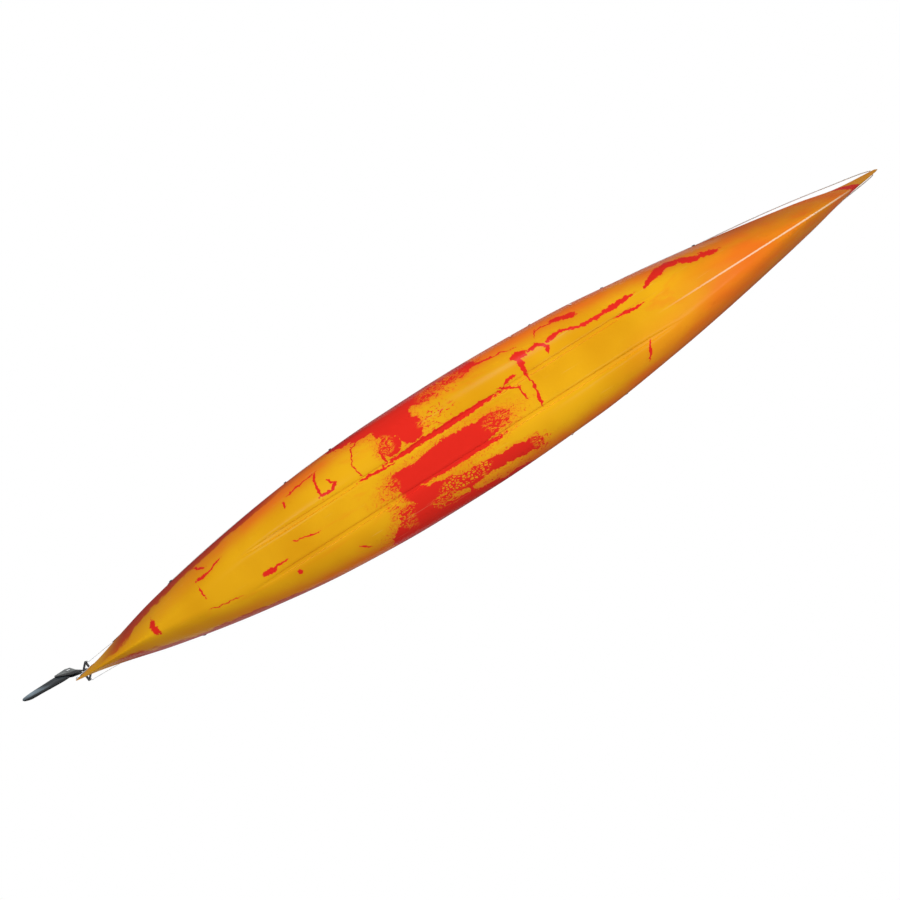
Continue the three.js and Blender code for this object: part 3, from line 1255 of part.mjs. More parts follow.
// Inner wires join the conduits to the pedal carriages
function addPedalWires() {
  [1, -1].forEach((side, k) => {
    const route = conduitRoute(side);
    const from = new THREE.Vector3(...route[0]);
    const height = RAIL_HEIGHT / 2 + CLEARANCE + CARRIAGE_WALL / 2;
    const to = new THREE.Vector3(pedalBacks[k], 0, height).applyMatrix4(railGroups[k].matrixWorld);
    const along = to.clone().sub(from).setLength(CLEARANCE + WIRE_RADIUS / 2);
    from.add(along);
    to.sub(along);
    const wire = cord([from, from.clone().lerp(to, 0.5), to].map((p) => p.toArray()), WIRE_RADIUS, 2);
    add(side > 0 ? 'pedal_wire_left' : 'pedal_wire_right', wire, STEEL);
  });
}
addPedalWires();

// Carrying toggles on rope loops
function toggle(x, z) {
  const half = TOGGLE_LENGTH / 2;
  const profile = [
    [0, -half], [TOGGLE_WAIST_RADIUS, -half], [TOGGLE_RADIUS, -half * TOGGLE_GRIP_SHARE],
    [TOGGLE_WAIST_RADIUS, 0], [TOGGLE_RADIUS, half * TOGGLE_GRIP_SHARE], [TOGGLE_WAIST_RADIUS, half], [0, half],
  ].map(([r, y]) => new THREE.Vector2(r, y));
  const bar = new THREE.LatheGeometry(profile, ROUND_STEPS);
  bar.translate(x, 0, z);
  return bar;
}

function addToggle(place, toggleX, pivotX, pivotZ, wide) {
  const low = station(toggleX).crown + TOGGLE_WAIST_RADIUS;
  const { seated, lift } = seatOnHull(toggle(toggleX, low), new THREE.Vector3(0, 0, 1));
  add(`${place}_toggle`, seated, BLACK_PLASTIC);
  const z = low + lift;
  const half = TOGGLE_LENGTH / 2 * TOGGLE_GRIP_SHARE;
  const gap = TOGGLE_RADIUS + CLEARANCE;
  const toward = Math.sign(pivotX - toggleX);
  const cornerX = pivotX - toward * LOOP_RADIUS;
  const points = [
    [toggleX + toward * gap, half, z], [toggleX + toward * (gap + 2 * LOOP_RADIUS), half, z],
    [(toggleX + pivotX) / 2, wide + 2 * LOOP_RADIUS, (z + pivotZ) / 2],
    [cornerX, wide + LOOP_RADIUS, pivotZ + LOOP_RADIUS / 2], [pivotX, wide - LOOP_RADIUS, pivotZ],
  ];
  const mirrored = points.map(([px, py, pz]) => [px, -py, pz]).reverse();
  add(`${place}_toggle_loop`, cord([...points, ...mirrored], LOOP_RADIUS, 4), ROPE);
}
addToggle('bow', BOW_TOGGLE_X, bowHandleHole.x, bowHandleHole.z, EYE_WIDTH / 2 + LOOP_RADIUS);
addToggle('stern', STERN_TOGGLE_X, sternHandleHole.x, sternHandleHole.z, EYE_WIDTH / 2 + LOOP_RADIUS);

export default kayak;
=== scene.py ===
import json
from bisect import bisect
from collections import namedtuple
from functools import partial, partialmethod
from math import asin, copysign, cos, hypot, inf, pi, radians, sin

import bmesh
import bpy
import numpy as np
from mathutils import Matrix, Vector


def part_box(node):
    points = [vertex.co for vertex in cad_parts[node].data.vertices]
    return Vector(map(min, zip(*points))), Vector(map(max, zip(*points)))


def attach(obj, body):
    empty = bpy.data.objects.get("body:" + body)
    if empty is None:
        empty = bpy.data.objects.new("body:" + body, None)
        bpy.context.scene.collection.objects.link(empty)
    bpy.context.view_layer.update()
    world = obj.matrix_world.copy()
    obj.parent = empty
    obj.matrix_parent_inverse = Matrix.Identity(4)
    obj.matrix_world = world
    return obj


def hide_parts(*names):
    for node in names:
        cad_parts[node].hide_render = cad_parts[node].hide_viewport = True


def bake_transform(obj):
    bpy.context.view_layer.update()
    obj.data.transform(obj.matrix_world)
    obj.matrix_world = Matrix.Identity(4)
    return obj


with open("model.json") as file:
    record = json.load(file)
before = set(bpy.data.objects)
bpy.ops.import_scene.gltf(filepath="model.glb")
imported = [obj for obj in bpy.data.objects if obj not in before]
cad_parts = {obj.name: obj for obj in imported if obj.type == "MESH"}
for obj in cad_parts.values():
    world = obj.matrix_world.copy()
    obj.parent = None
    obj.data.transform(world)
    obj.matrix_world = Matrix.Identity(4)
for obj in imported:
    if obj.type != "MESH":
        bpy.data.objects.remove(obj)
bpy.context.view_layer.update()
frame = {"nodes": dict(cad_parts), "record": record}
SCENE = bpy.context.scene
NODES = frame["nodes"]
SLOTS = {part["node"]: part["material_slot"] for part in frame["record"]["subparts"]}
JOINTS = {joint["name"]: joint for joint in frame["record"]["behaviour"]["joints"]}
AXIS_X = JOINTS["rudder_yaw"]["pos_m"][0]
PIVOT_X, PIVOT_Y, PIVOT_Z = JOINTS["blade_lift"]["pos_m"]
PIVOT_REACH = hypot(PIVOT_X - AXIS_X, PIVOT_Y)
AFT = ((PIVOT_X - AXIS_X) / PIVOT_REACH, PIVOT_Y / PIVOT_REACH, 0)


# Shader nodes

def feed(tree, socket, value):
    """Sets a socket, or links it where the value is another node's output."""
    if isinstance(value, bpy.types.NodeSocket):
        tree.links.new(value, socket)
    elif socket.type == "VECTOR" and isinstance(value, (int, float)):
        socket.default_value = (value, value, value)
    elif socket.type == "RGBA":
        socket.default_value = (*value, 1)
    else:
        socket.default_value = value


def add_node(tree, kind, values=(), output=0, **settings):
    """Adds a node, feeds its inputs in their order or by name and gives one of its outputs."""
    node = tree.nodes.new("ShaderNode" + kind)
    for setting, value in settings.items():
        setattr(node, setting, value)
    for key, value in (values if isinstance(values, dict) else dict(enumerate(values))).items():
        feed(tree, node.inputs[key], value)
    return node.outputs[output] if node.outputs else None


def shader_of(owner):
    """Empties a material's or the world's shader and gives what adds nodes to it."""
    owner.use_nodes = True
    owner.node_tree.nodes.clear()
    return partial(add_node, owner.node_tree)


# Camera, lamps and floor

LENS_MM, SENSOR_MM = 28.223, 36
LENS_SHIFT = (-0.01, -0.06)
FARTHEST_SEEN = 200
CAMERA_PLACE = (-0.0252, -0.2198, -3.4184)
CAMERA_RIGHT = (0.84418, 0.53606, -0.0014)
CAMERA_UP = (0.53603, -0.84409, 0.01331)
CAMERA_BACK = (0.00596, -0.01198, -0.99991)


def linked(name, data):
    """A new object in the scene."""
    made = bpy.data.objects.new(name, data)
    SCENE.collection.objects.link(made)
    return made


def make_camera():
    """Under the boat, looking up, as the photograph shows its bottom."""
    data = bpy.data.cameras.new("camera")
    data.sensor_width = SENSOR_MM
    data.lens = LENS_MM
    data.shift_x, data.shift_y = LENS_SHIFT
    data.clip_end = FARTHEST_SEEN
    camera = linked("camera", data)
    camera.matrix_world = Matrix((*zip(CAMERA_RIGHT, CAMERA_UP, CAMERA_BACK, CAMERA_PLACE), (0, 0, 0, 1)))
    SCENE.camera = camera


def lamp(name, place, aim, size, watts):
    data = bpy.data.lights.new(name, "AREA")
    data.shape = "RECTANGLE"
    data.size, data.size_y = size
    data.energy = watts
    made = linked(name, data)
    made.location = place
    made.rotation_euler = (Vector(aim) - Vector(place)).to_track_quat("-Z", "Y").to_euler()
    made.visible_camera = False


def seen_rays(add):
    """1 for rays that show a thing directly, in gloss or through glass, and 0 for the rest."""
    kinds = ("Camera", "Glossy", "Transmission")
    seen, gloss, through = (add("LightPath", output=f"Is {kind} Ray") for kind in kinds)
    seen_or_gloss = add("Math", (seen, gloss), operation="MAXIMUM")
    return add("Math", (seen_or_gloss, through), operation="MAXIMUM")


SOFT_LIGHT, SOFT_LIGHT_STRENGTH = (0.96, 0.98, 1), 0.27
WHITE = (1, 1, 1)


def make_world():
    """A soft pale light all round, which is plain white where it is seen."""
    world = bpy.data.worlds.new("studio")
    SCENE.world = world
    add = shader_of(world)
    soft = add("Background", (SOFT_LIGHT, SOFT_LIGHT_STRENGTH))
    white = add("Background", (WHITE, 1))
    add("OutputWorld", (add("MixShader", (seen_rays(add), soft, white)),))


FLOOR_HALF = 30
FLOOR_COLOUR = (0.82, 0.82, 0.82)
BACKDROP_STARTS, BACKDROP_IS_FULL = 3.5, 9


def make_floor():
    """A pale floor that only shows from above, as the photograph looks up at the bottom."""
    mesh = bpy.data.meshes.new("floor")
    corners = [(FLOOR_HALF * x, FLOOR_HALF * y, 0) for x, y in ((-1, -1), (1, -1), (1, 1), (-1, 1))]
    mesh.from_pydata(corners, [], [(0, 1, 2, 3)])
    floor = linked("floor", mesh)
    material = bpy.data.materials.new("floor")
    add = shader_of(material)
    # far from the boat the floor runs into a white backdrop
    place = add("TexCoord", output="Object")
    away = add("VectorMath", (place,), "Value", operation="LENGTH")
    far = add("MapRange", (away, BACKDROP_STARTS, BACKDROP_IS_FULL), interpolation_type="SMOOTHSTEP")
    pale = add("BsdfDiffuse", (FLOOR_COLOUR,))
    ground = add("MixShader", (far, pale, add("Emission")))
    from_below = add("NewGeometry", output="Backfacing")
    from_above = add("Math", (1, from_below), operation="SUBTRACT")
    shown = add("Math", (seen_rays(add), from_above), operation="MULTIPLY")
    clear = add("BsdfTransparent")
    add("OutputMaterial", (add("MixShader", (shown, clear, ground)),))
    mesh.materials.append(material)


SCENE.view_settings.view_transform = "Standard"
make_camera()
make_world()
make_floor()
# name, place, what it shines at, size and watts
lamp("under_key", (0.6, -2.3, -3.0), (0.3, 0, 0.1), (1.2, 0.7), 62)
lamp("under_strip", (1.9, 0.9, -3.3), (1.5, 0.1, 0.1), (2.3, 0.3), 52)
lamp("under_stern", (-2.2, -0.9, -3.3), (-1.4, 0, 0.1), (1, 0.6), 42)
lamp("over_key", (1.5, -4, 6.5), (0, 0, 0.2), (7, 5), 430)
lamp("over_fill", (-3.5, 4, 5.5), (0, 0, 0.2), (6, 4), 230)


# Materials

PLASTIC_IOR = 1.5


class Finish:
    """A material whose colour, roughness and bump come from nodes."""

    def __init__(self, name, metallic=0, coat=0, sheen=0, specular=0.5, coat_rough=0.12):
        self.material = bpy.data.materials.new(name)
        self.add = shader_of(self.material)
        self.place = self.add("TexCoord", output="Object")
        self.settings = {"Metallic": metallic, "Coat Weight": coat, "Coat Roughness": coat_rough,
                         "Sheen Weight": sheen, "Specular IOR Level": specular, "IOR": PLASTIC_IOR}

    def math(self, operation, *values):
        return self.add("Math", values, operation=operation)

    times = partialmethod(math, "MULTIPLY")
    minus = partialmethod(math, "SUBTRACT")
    most = partialmethod(math, "MAXIMUM")
    size_of = partialmethod(math, "ABSOLUTE")

    def plus(self, a, b, share=1):
        """a plus a share of b."""
        return self.math("MULTIPLY_ADD", b, share, a)

    def vector(self, operation, *values):
        output = "Value" if operation in ("LENGTH", "DOT_PRODUCT") else "Vector"
        return self.add("VectorMath", values, output, operation=operation)

    def stretched(self, scale):
        return self.vector("MULTIPLY", self.place, scale)

    def shifted(self, place, by, amount):
        return self.vector("MULTIPLY_ADD", by, amount, place)

    def part(self, axis, vector):
        return self.add("SeparateXYZ", (vector,), axis)

    def noise(self, scale, detail=2, rough=0.5, stretch=None, distortion=0, colour=False):
        place = self.stretched(stretch) if stretch else self.place
        values = {"Vector": place, "Scale": scale, "Detail": detail, "Roughness": rough}
        values["Distortion"] = distortion
        return self.add("TexNoise", values, "Color" if colour else "Fac")

    def cells(self, scale, place=None, feature="F1"):
        """How far a point is from the middle of its cell, or from the cell's edge."""
        values = {"Vector": place or self.place, "Scale": scale}
        return self.add("TexVoronoi", values, "Distance", feature=feature)

    def wave(self, scale, direction, place=None, distortion=0):
        values = {"Vector": place or self.place, "Scale": scale, "Distortion": distortion}
        return self.add("TexWave", values, "Fac", bands_direction=direction)

    def step(self, value, low, high, start=0, end=1):
        """start where the value is at low, end where it is at high, and a smooth rise between."""
        return self.add("MapRange", (value, low, high, start, end), interpolation_type="SMOOTHSTEP")

    def specks(self, scale, detail, low, high, share):
        return self.step(self.noise(scale, detail, 0.7), low, high, 0, share)

    def edges(self, share=1):
        """share where the surface bends outwards."""
        return self.step(self.add("NewGeometry", output="Pointiness"), 0.52, 0.6, 0, share)

    def mix(self, share, a, b):
        # inputs 6 and 7 and output 2 hold the colours
        return self.add("Mix", {0: share, 6: a, 7: b}, 2, data_type="RGBA")

    def bump(self, height, distance, strength=1, **under):
        return self.add("Bump", {"Height": height, "Distance": distance, "Strength": strength, **under})

    def marks(self, table, place, blend=0):
        """How far a point is from the nearest oval of a table, where 1 is the oval's edge."""
        nearest = None
        for x, y, length, width, turn in table:
            values = {"Vector": place, "Location": (x, y, 0), "Rotation": (0, 0, radians(turn)),
                      "Scale": (length / 2, width / 2, 1)}
            reach = self.vector("LENGTH", self.add("Mapping", values, vector_type="TEXTURE"))
            if nearest is None:
                nearest = reach
            elif blend:
                nearest = self.math("SMOOTH_MIN", nearest, reach, blend)
            else:
                nearest = self.math("MINIMUM", nearest, reach)
        return nearest

    def surfaced(self, colour, rough, normal):
        values = {**self.settings, "Base Color": colour, "Roughness": rough, "Normal": normal}
        self.add("OutputMaterial", (self.add("BsdfPrincipled", values),))
        return self.material


YELLOW = (0.84, 0.425, 0.009)
GOLD = (0.74, 0.335, 0.006)
ORANGE = (0.87, 0.18, 0.014)
RED = (0.77, 0.024, 0.014)
# the next two are painted shade for the steep sides of the hull
SHADE_RED = (0.33, 0.008, 0.007)
SHADE_ORANGE = (0.4, 0.06, 0.012)
STERN_RED = (0.6, 0.07, 0.014)

# Red marbling on the bottom of the hull, placed after the photograph as ovals:
# x, y, length and width in metres and turn in degrees
RED_PATCHES = [
    (-0.225, 0.03, 0.59, 0.135, -1), (-0.45, 0.03, 0.24, 0.11, 2), (0.005, 0.02, 0.225, 0.1, -4),
    (-0.335, -0.175, 0.14, 0.125, 7), (-0.46, -0.155, 0.12, 0.1, -8), (-0.4, -0.24, 0.22, 0.11, 2),
    (-0.465, 0.125, 0.185, 0.095, 40), (-0.39, 0.155, 0.135, 0.085, -10), (-0.3, 0.165, 0.17, 0.07, 16),
    (-0.2, 0.18, 0.165, 0.07, 3), (-0.08, 0.19, 0.205, 0.07, 7), (0.05, 0.205, 0.19, 0.07, 7),
    (0.145, 0.215, 0.1, 0.065, 22), (-0.57, 0.265, 0.275, 0.14, -6), (-0.39, 0.285, 0.34, 0.15, 14),
    (-0.19, 0.32, 0.31, 0.125, 5), (0.01, 0.33, 0.305, 0.095, 1), (0.185, 0.335, 0.22, 0.06, 1),
    (-0.685, -0.295, 0.21, 0.035, 2), (-0.53, -0.29, 0.245, 0.075, 1), (-0.365, -0.29, 0.26, 0.095, 0),
    (-0.195, -0.29, 0.25, 0.085, 1), (-0.02, -0.285, 0.26, 0.055, 2),
    (-0.52, 0.2, 0.18, 0.1, 30), (-0.36, 0.22, 0.24, 0.08, 6), (-0.2, 0.24, 0.3, 0.06, 3),
]
# The channels ran full of red
RED_CHANNELS = [(-0.2, -0.09, 0.66, 0.03, 0), (-0.245, 0.085, 0.6, 0.03, 2)]
RED_STREAKS = [
    (0.155, -0.26, 0.295, 0.009, 10), (0.3, -0.19, 0.085, 0.04, 7), (0.29, -0.145, 0.12, 0.028, 94),
    (0.385, -0.185, 0.07, 0.02, -5), (0.425, -0.175, 0.075, 0.022, 39), (0.44, -0.145, 0.05, 0.017, 114),
    (0.495, -0.18, 0.1, 0.022, -7), (0.575, -0.17, 0.125, 0.017, 18), (0.655, -0.15, 0.095, 0.017, 6),
    (0.72, -0.145, 0.1, 0.022, 1), (0.83, -0.145, 0.205, 0.028, -1), (0.43, -0.24, 0.04, 0.006, -48),
    (0.49, -0.245, 0.12, 0.008, 6), (0.56, -0.24, 0.08, 0.022, 9), (0.615, -0.225, 0.08, 0.028, 16),
    (0.2, -0.115, 0.075, 0.017, -9), (0.285, -0.075, 0.065, 0.011, 71), (0.29, -0.025, 0.07, 0.013, 96),
    (0.28, 0.035, 0.095, 0.016, 102), (0.18, -0.085, 0.12, 0.011, 26), (0.225, -0.03, 0.09, 0.01, 83),
    (-0.615, -0.25, 0.065, 0.007, 159), (-0.65, -0.21, 0.095, 0.007, 115), (-0.66, -0.14, 0.09, 0.007, 77),
    (-0.515, -0.125, 0.07, 0.014, 86), (-0.59, -0.08, 0.195, 0.014, 5), (-0.825, 0.2, 0.06, 0.008, 39),
    (1.035, -0.155, 0.085, 0.025, -19), (1.1, -0.17, 0.105, 0.035, -7),
    (1.18, -0.17, 0.13, 0.03, 9), (1.255, -0.145, 0.11, 0.035, 27), (1.34, -0.12, 0.145, 0.028, 11),
    (0.875, -0.085, 0.15, 0.017, 5), (0.86, 0.13, 0.11, 0.013, 117), (2.17, 0, 0.07, 0.2, 4),
    (-0.865, -0.215, 0.055, 0.015, 111), (-0.87, -0.16, 0.095, 0.016, 89), (-0.84, -0.125, 0.08, 0.017, 2),
    (-0.795, -0.135, 0.055, 0.016, -31), (-0.795, -0.16, 0.06, 0.011, -125), (-0.94, -0.23, 0.175, 0.009, -8),
    (-1.055, -0.19, 0.03, 0.014, 92), (-1.035, 0, 0.155, 0.007, 12), (-1.28, 0.05, 0.08, 0.024, 2),
    (-1.215, 0.045, 0.105, 0.009, 0), (-1.155, 0.13, 0.025, 0.02, 92), (-1.6, -0.15, 0.1, 0.01, 17),
    (-1.51, -0.12, 0.105, 0.012, 160), (-1.585, -0.105, 0.09, 0.014, 176), (-1.615, -0.045, 0.07, 0.011, 81),
    (-1.54, 0.065, 0.19, 0.006, 9), (-1.91, -0.02, 0.085, 0.035, 70),
]
# Where red and yellow are churned together
CHURNED_PLACES = [
    (-0.365, 0.215, 0.13, 0.07, 12), (-0.575, 0.16, 0.165, 0.1, 92), (-0.2, -0.16, 0.175, 0.085, 4),
    (-0.49, -0.165, 0.11, 0.09, -28), (0.05, 0.025, 0.145, 0.08, 2), (-0.57, 0.035, 0.115, 0.08, -28),
    (0.18, 0.22, 0.09, 0.07, 22), (-0.1, -0.27, 0.25, 0.07, 0),
]
CELL_PLACES = [(-0.225, 0.17, 0.275, 0.075, 3), (-0.22, -0.06, 0.435, 0.029, -1)]
YELLOW_ISLANDS = [(-0.13, 0.245, 0.195, 0.05, -1), (-0.29, 0.23, 0.1, 0.03, 10)]
# How softly neighbouring red patches run together
PATCH_BLEND = 0.06
# painted highlight along the keel of the bow
KEEL_HIGHLIGHT_COLOUR = (1, 0.8, 0.55)
SCRATCHED = (0.9, 0.62, 0.35)
CENTRED = (0.5, 0.5, 0.5)


def marbled_plastic():
    """Golden yellow polyethylene that ran together with orange and red in the mould."""
    f = Finish("marbled_polyethylene", specular=0, coat=0.06, coat_rough=0.2)
    spread = f.vector("SUBTRACT", f.noise(5, 2, 0.55, (1, 1.6, 1.6), colour=True), CENTRED)
    ragged = f.vector("SUBTRACT", f.noise(38, 4, 0.62, colour=True), CENTRED)
    flat = f.stretched((1, 1, 0))
    patch_place = f.shifted(f.shifted(flat, spread, (0.05, 0.035, 0)), ragged, (0.034, 0.026, 0))
    streak_place = f.shifted(flat, ragged, (0.03, 0.03, 0))
    fine = f.minus(f.noise(75, 3, 0.6), 0.5)
    x, y, z = (f.part(axis, f.place) for axis in "XYZ")
    facing_up = f.part("Z", f.add("NewGeometry", output="Normal"))
    upright = f.size_of(facing_up)
    steep = f.step(upright, 0.6, 0.12)

    # the deck begins above the sheer, which rises towards both ends
    sheer = f.plus(f.plus(0.2, f.times(x, x), 0.016), f.minus(f.noise(9, 3), 0.5), 0.07)
    on_deck = f.step(f.minus(z, sheer), -0.004, 0.004)
    patch = f.plus(f.marks(RED_PATCHES, patch_place, PATCH_BLEND), fine, 0.45)
    red_below = red_on_bottom(f, patch, patch_place, streak_place, fine)
    run = f.noise(2.3, 5, 0.6, (0.55, 1.9, 1.3), distortion=1.3)
    deck_red = f.step(f.plus(run, fine, 0.1), 0.6, 0.615)
    red = f.mix(on_deck, red_below, deck_red)

    base = yellow_to_orange(f, x, y, upright)
    # painted shade: the steep sides turn a darker orange, less so towards the tips
    tips = f.most(f.step(x, 1.5, 2.1), f.step(x, -2.2, -2.32))
    base = f.mix(f.times(steep, f.plus(0.85, tips, -0.6)), base, SHADE_ORANGE)
    gold_tip = f.most(f.step(x, 2.06, 2.2), f.step(x, -2.1, -2.3))
    base = f.mix(f.times(gold_tip, f.step(upright, 0, 0.35, 0.35, 0.9)), base, GOLD)
    # a painted highlight runs pale along the keel of the bow, where it faces down
    off_keel = f.plus(f.size_of(y), f.size_of(fine), 0.012)
    along_bow = f.times(f.step(x, 0.95, 1.5), f.step(x, 2.2, 2.0))
    keel_highlight_share = f.times(f.step(off_keel, 0.0062, 0.002, 0, 0.75), along_bow)
    base = f.mix(f.times(keel_highlight_share, f.step(facing_up, -0.1, -0.3)), base, KEEL_HIGHLIGHT_COLOUR)
    # the deck's red runs down over the sides of the stern, with painted shade where they are steep
    drawn = f.plus(upright, f.minus(f.noise(6, 4, 0.6), 0.5), 0.5)
    along_stern = f.times(f.step(x, -0.9, -1.3), f.step(x, -2.3, -2.1))
    stern_side = f.times(f.step(drawn, 0.5, 0.43), along_stern)
    base = f.mix(stern_side, base, f.mix(steep, STERN_RED, SHADE_RED))
    # an orange bloom lies round the red patches
    bloom = f.times(f.step(patch, 1.7, 1.0, 0, 0.3), f.minus(1, on_deck))
    base = f.mix(bloom, base, ORANGE)
    # painted shade: the red turns darker where the sides are steep, less so towards the tips
    red_tone = f.mix(f.times(steep, f.plus(1, tips, -0.75)), RED, SHADE_RED)
    colour = f.mix(red, base, red_tone)

    scratches = f.step(f.noise(60, 2, 0.6, (0.05, 1.4, 1.4)), 0.68, 0.74)
    colour = f.mix(f.times(scratches, 0.1), colour, SCRATCHED)
    rough = f.plus(f.plus(f.step(f.noise(14, 4), 0.3, 0.7, 0.2, 0.3), steep, 0.3), scratches, 0.12)
    waves = f.bump(f.noise(5, 2), 0.006, 0.35)
    peel = f.bump(f.noise(420, 2, 0.6), 0.0004, 0.35, Normal=waves)
    return f.surfaced(colour, rough, f.bump(scratches, 0.0002, 0.4, Normal=peel))


def red_on_bottom(f, patch, patch_place, streak_place, fine):
    """Where the bottom is red: torn patches, filled channels, streaks, specks and threads."""
    swirl = f.noise(30, 3, 0.55, (0.7, 1.4, 1), distortion=2.6)
    thread = f.size_of(f.minus(f.noise(22, 2, 0.5, distortion=2.6), 0.5))
    churned = f.marks(CHURNED_PLACES, patch_place)
    holes = f.times(f.step(churned, 1.3, 0.8), f.step(swirl, 0.49, 0.52))
    island = f.plus(f.marks(YELLOW_ISLANDS, patch_place), fine, 0.9)
    holes = f.most(holes, f.step(island, 1.05, 0.95))
    cell = f.cells(66, place=f.stretched((0.75, 1.25, 1)), feature="DISTANCE_TO_EDGE")
    cells = f.times(f.step(f.marks(CELL_PLACES, patch_place), 1.15, 0.95), f.step(cell, 0.13, 0.19))
    holes = f.most(holes, cells)
    patches = f.times(f.step(patch, 1.05, 0.99), f.minus(1, holes))
    specks = f.times(f.step(churned, 1.7, 0.9), f.step(swirl, 0.57, 0.6))
    threads = f.times(f.step(patch, 1.9, 1.2), f.step(thread, 0.016, 0.01))
    channels = f.step(f.plus(f.marks(RED_CHANNELS, streak_place), fine, 0.8), 1.1, 0.95)
    streaks = f.step(f.plus(f.marks(RED_STREAKS, streak_place), fine, 1.3), 1.12, 0.92)
    return f.most(f.most(patches, f.most(streaks, channels)), f.most(specks, threads))


def yellow_to_orange(f, x, y, upright):
    """Golden yellow that turns orange towards the bow, on the sides and where the melt drifted."""
    golden = f.mix(f.step(f.noise(2.2, 2), 0.35, 0.7), YELLOW, GOLD)
    clouds = f.noise(2.6, 3, 0.55, (0.6, 1.4, 1.4), distortion=0.6)
    towards_bow = f.step(f.plus(x, y, 1.6), 0.75, 1.5)
    orange_bow = f.times(towards_bow, f.step(clouds, 0.36, 0.7, 1, 0.5))
    orange_side = f.times(f.step(upright, 0.94, 0.55), f.step(f.noise(4, 3), 0.3, 0.6, 0.5, 1))
    orange_side = f.times(orange_side, f.step(x, -1.9, -1.1, 0.3, 1))
    drift = f.noise(3.1, 4, 0.6, (0.45, 1.5, 1.2), distortion=1.2)
    drifted = f.step(drift, 0.56, 0.72, 0, 0.4)
    return f.mix(f.most(f.most(orange_bow, orange_side), drifted), golden, ORANGE)


def tinted(colour, share):
    """A colour made lighter or darker."""
    return tuple(min(1, share * part) for part in colour)


PLASTIC_BLACK = (0.024, 0.025, 0.028)
PLASTIC_DUST = (0.16, 0.15, 0.135)
PLASTIC_WORN = (0.11, 0.11, 0.11)


def black_moulding():
    """Black plastic with a fine grain, dust and paler, worn edges."""
    f = Finish("black_moulding", specular=0.25)
    patches = f.noise(24, 4, 0.6)
    grain = f.noise(900, 2, 0.5)
    tone = f.mix(f.step(patches, 0.3, 0.75), PLASTIC_BLACK, tinted(PLASTIC_BLACK, 2.1))
    tone = f.mix(f.specks(130, 5, 0.62, 0.78, 0.4), tone, PLASTIC_DUST)
    worn = f.times(f.edges(), f.step(f.noise(80, 3), 0.4, 0.6, 0.1, 0.6))
    tone = f.mix(worn, tone, PLASTIC_WORN)
    rough = f.step(f.plus(patches, grain, 0.4), 0.4, 0.95, 0.36, 0.56)
    return f.surfaced(tone, rough, f.bump(grain, 0.0004, 0.5))


SEAT_GREY = (0.05, 0.053, 0.062)
SEAT_THREAD = 0.0016


def seat_weave():
    """Dark woven cloth with a nap, faded in places."""
    f = Finish("seat_weave", sheen=0.35, specular=0.3)
    across, along, upwards = (f.wave(1 / SEAT_THREAD, axis, distortion=0.4) for axis in "XYZ")
    weave = f.most(f.most(across, along), f.times(upwards, 0.8))
    fuzz = f.noise(2400, 2, 0.6)
    fade = f.noise(16, 4, 0.6)
    tone = f.mix(f.step(weave, 0.2, 0.9), tinted(SEAT_GREY, 0.55), SEAT_GREY)
    tone = f.mix(f.step(fade, 0.35, 0.75, 0, 0.5), tone, tinted(SEAT_GREY, 1.9))
    tone = f.mix(f.step(fuzz, 0.62, 0.75, 0, 0.35), tone, tinted(SEAT_GREY, 2.6))
    height = f.plus(weave, fuzz, 0.5)
    return f.surfaced(tone, f.step(fade, 0.3, 0.7, 0.78, 0.94), f.bump(height, 0.0006, 0.6))


FOAM_GREY = (0.09, 0.09, 0.095)


def bulkhead_foam():
    """Grey foam with open cells."""
    f = Finish("bulkhead_foam", specular=0.3)
    cells = f.cells(420)
    fade = f.noise(14, 4, 0.6)
    tone = f.mix(f.step(cells, 0.1, 0.6), tinted(FOAM_GREY, 1.5), tinted(FOAM_GREY, 0.6))
    tone = f.mix(f.step(fade, 0.4, 0.75, 0, 0.5), tone, tinted(FOAM_GREY, 1.9))
    return f.surfaced(tone, f.step(fade, 0.3, 0.7, 0.8, 0.95), f.bump(cells, 0.0012, 0.6))


STEEL = (0.6, 0.61, 0.62)
STEEL_MOTTLE = 0.25
STEEL_SALT = (0.62, 0.63, 0.62)


def stainless():
    """Brushed steel, mottled, with a bloom of dried salt."""
    f = Finish("stainless", metallic=1)
    brushed = f.noise(160, 3, 0.6, (1, 8, 8))
    blotch = f.noise(46, 5, 0.68)
    bright = tinted(STEEL, 1 + STEEL_MOTTLE)
    tone = f.mix(f.step(blotch, 0.3, 0.72), tinted(STEEL, 1 - STEEL_MOTTLE), bright)
    salt = f.specks(240, 4, 0.66, 0.76, 0.28)
    tone = f.mix(f.edges(0.5), f.mix(salt, tone, STEEL_SALT), bright)
    rough = f.plus(f.step(blotch, 0.3, 0.7, 0.22, 0.4), salt, 0.3)
    return f.surfaced(tone, rough, f.bump(brushed, 0.0002, 0.3))


def past_line(f, reach, z, slope_deg):
    """How far a point is past a sloped line, which is reach behind the steering axis at z."""
    behind = f.vector("DOT_PRODUCT", f.vector("SUBTRACT", f.place, (AXIS_X, 0, 0)), AFT)
    slope = radians(slope_deg)
    across = f.times(f.minus(behind, reach), sin(slope))
    return f.plus(across, f.minus(f.part("Z", f.place), z), cos(slope))


BLADE_BLACK = (0.008, 0.01, 0.012)
# painted highlight on the blade's faces, with paler streaks in it
BLADE_HIGHLIGHT_BLUE = (0.26, 0.34, 0.4)
BLADE_HIGHLIGHT_STREAK = (0.4, 0.46, 0.5)
# The blade's leading edge: how far behind the steering axis it is at a height, and its slope
BLADE_EDGE_REACH, BLADE_EDGE_Z, BLADE_EDGE_SLOPE = 0.075, 0.243, 73.8


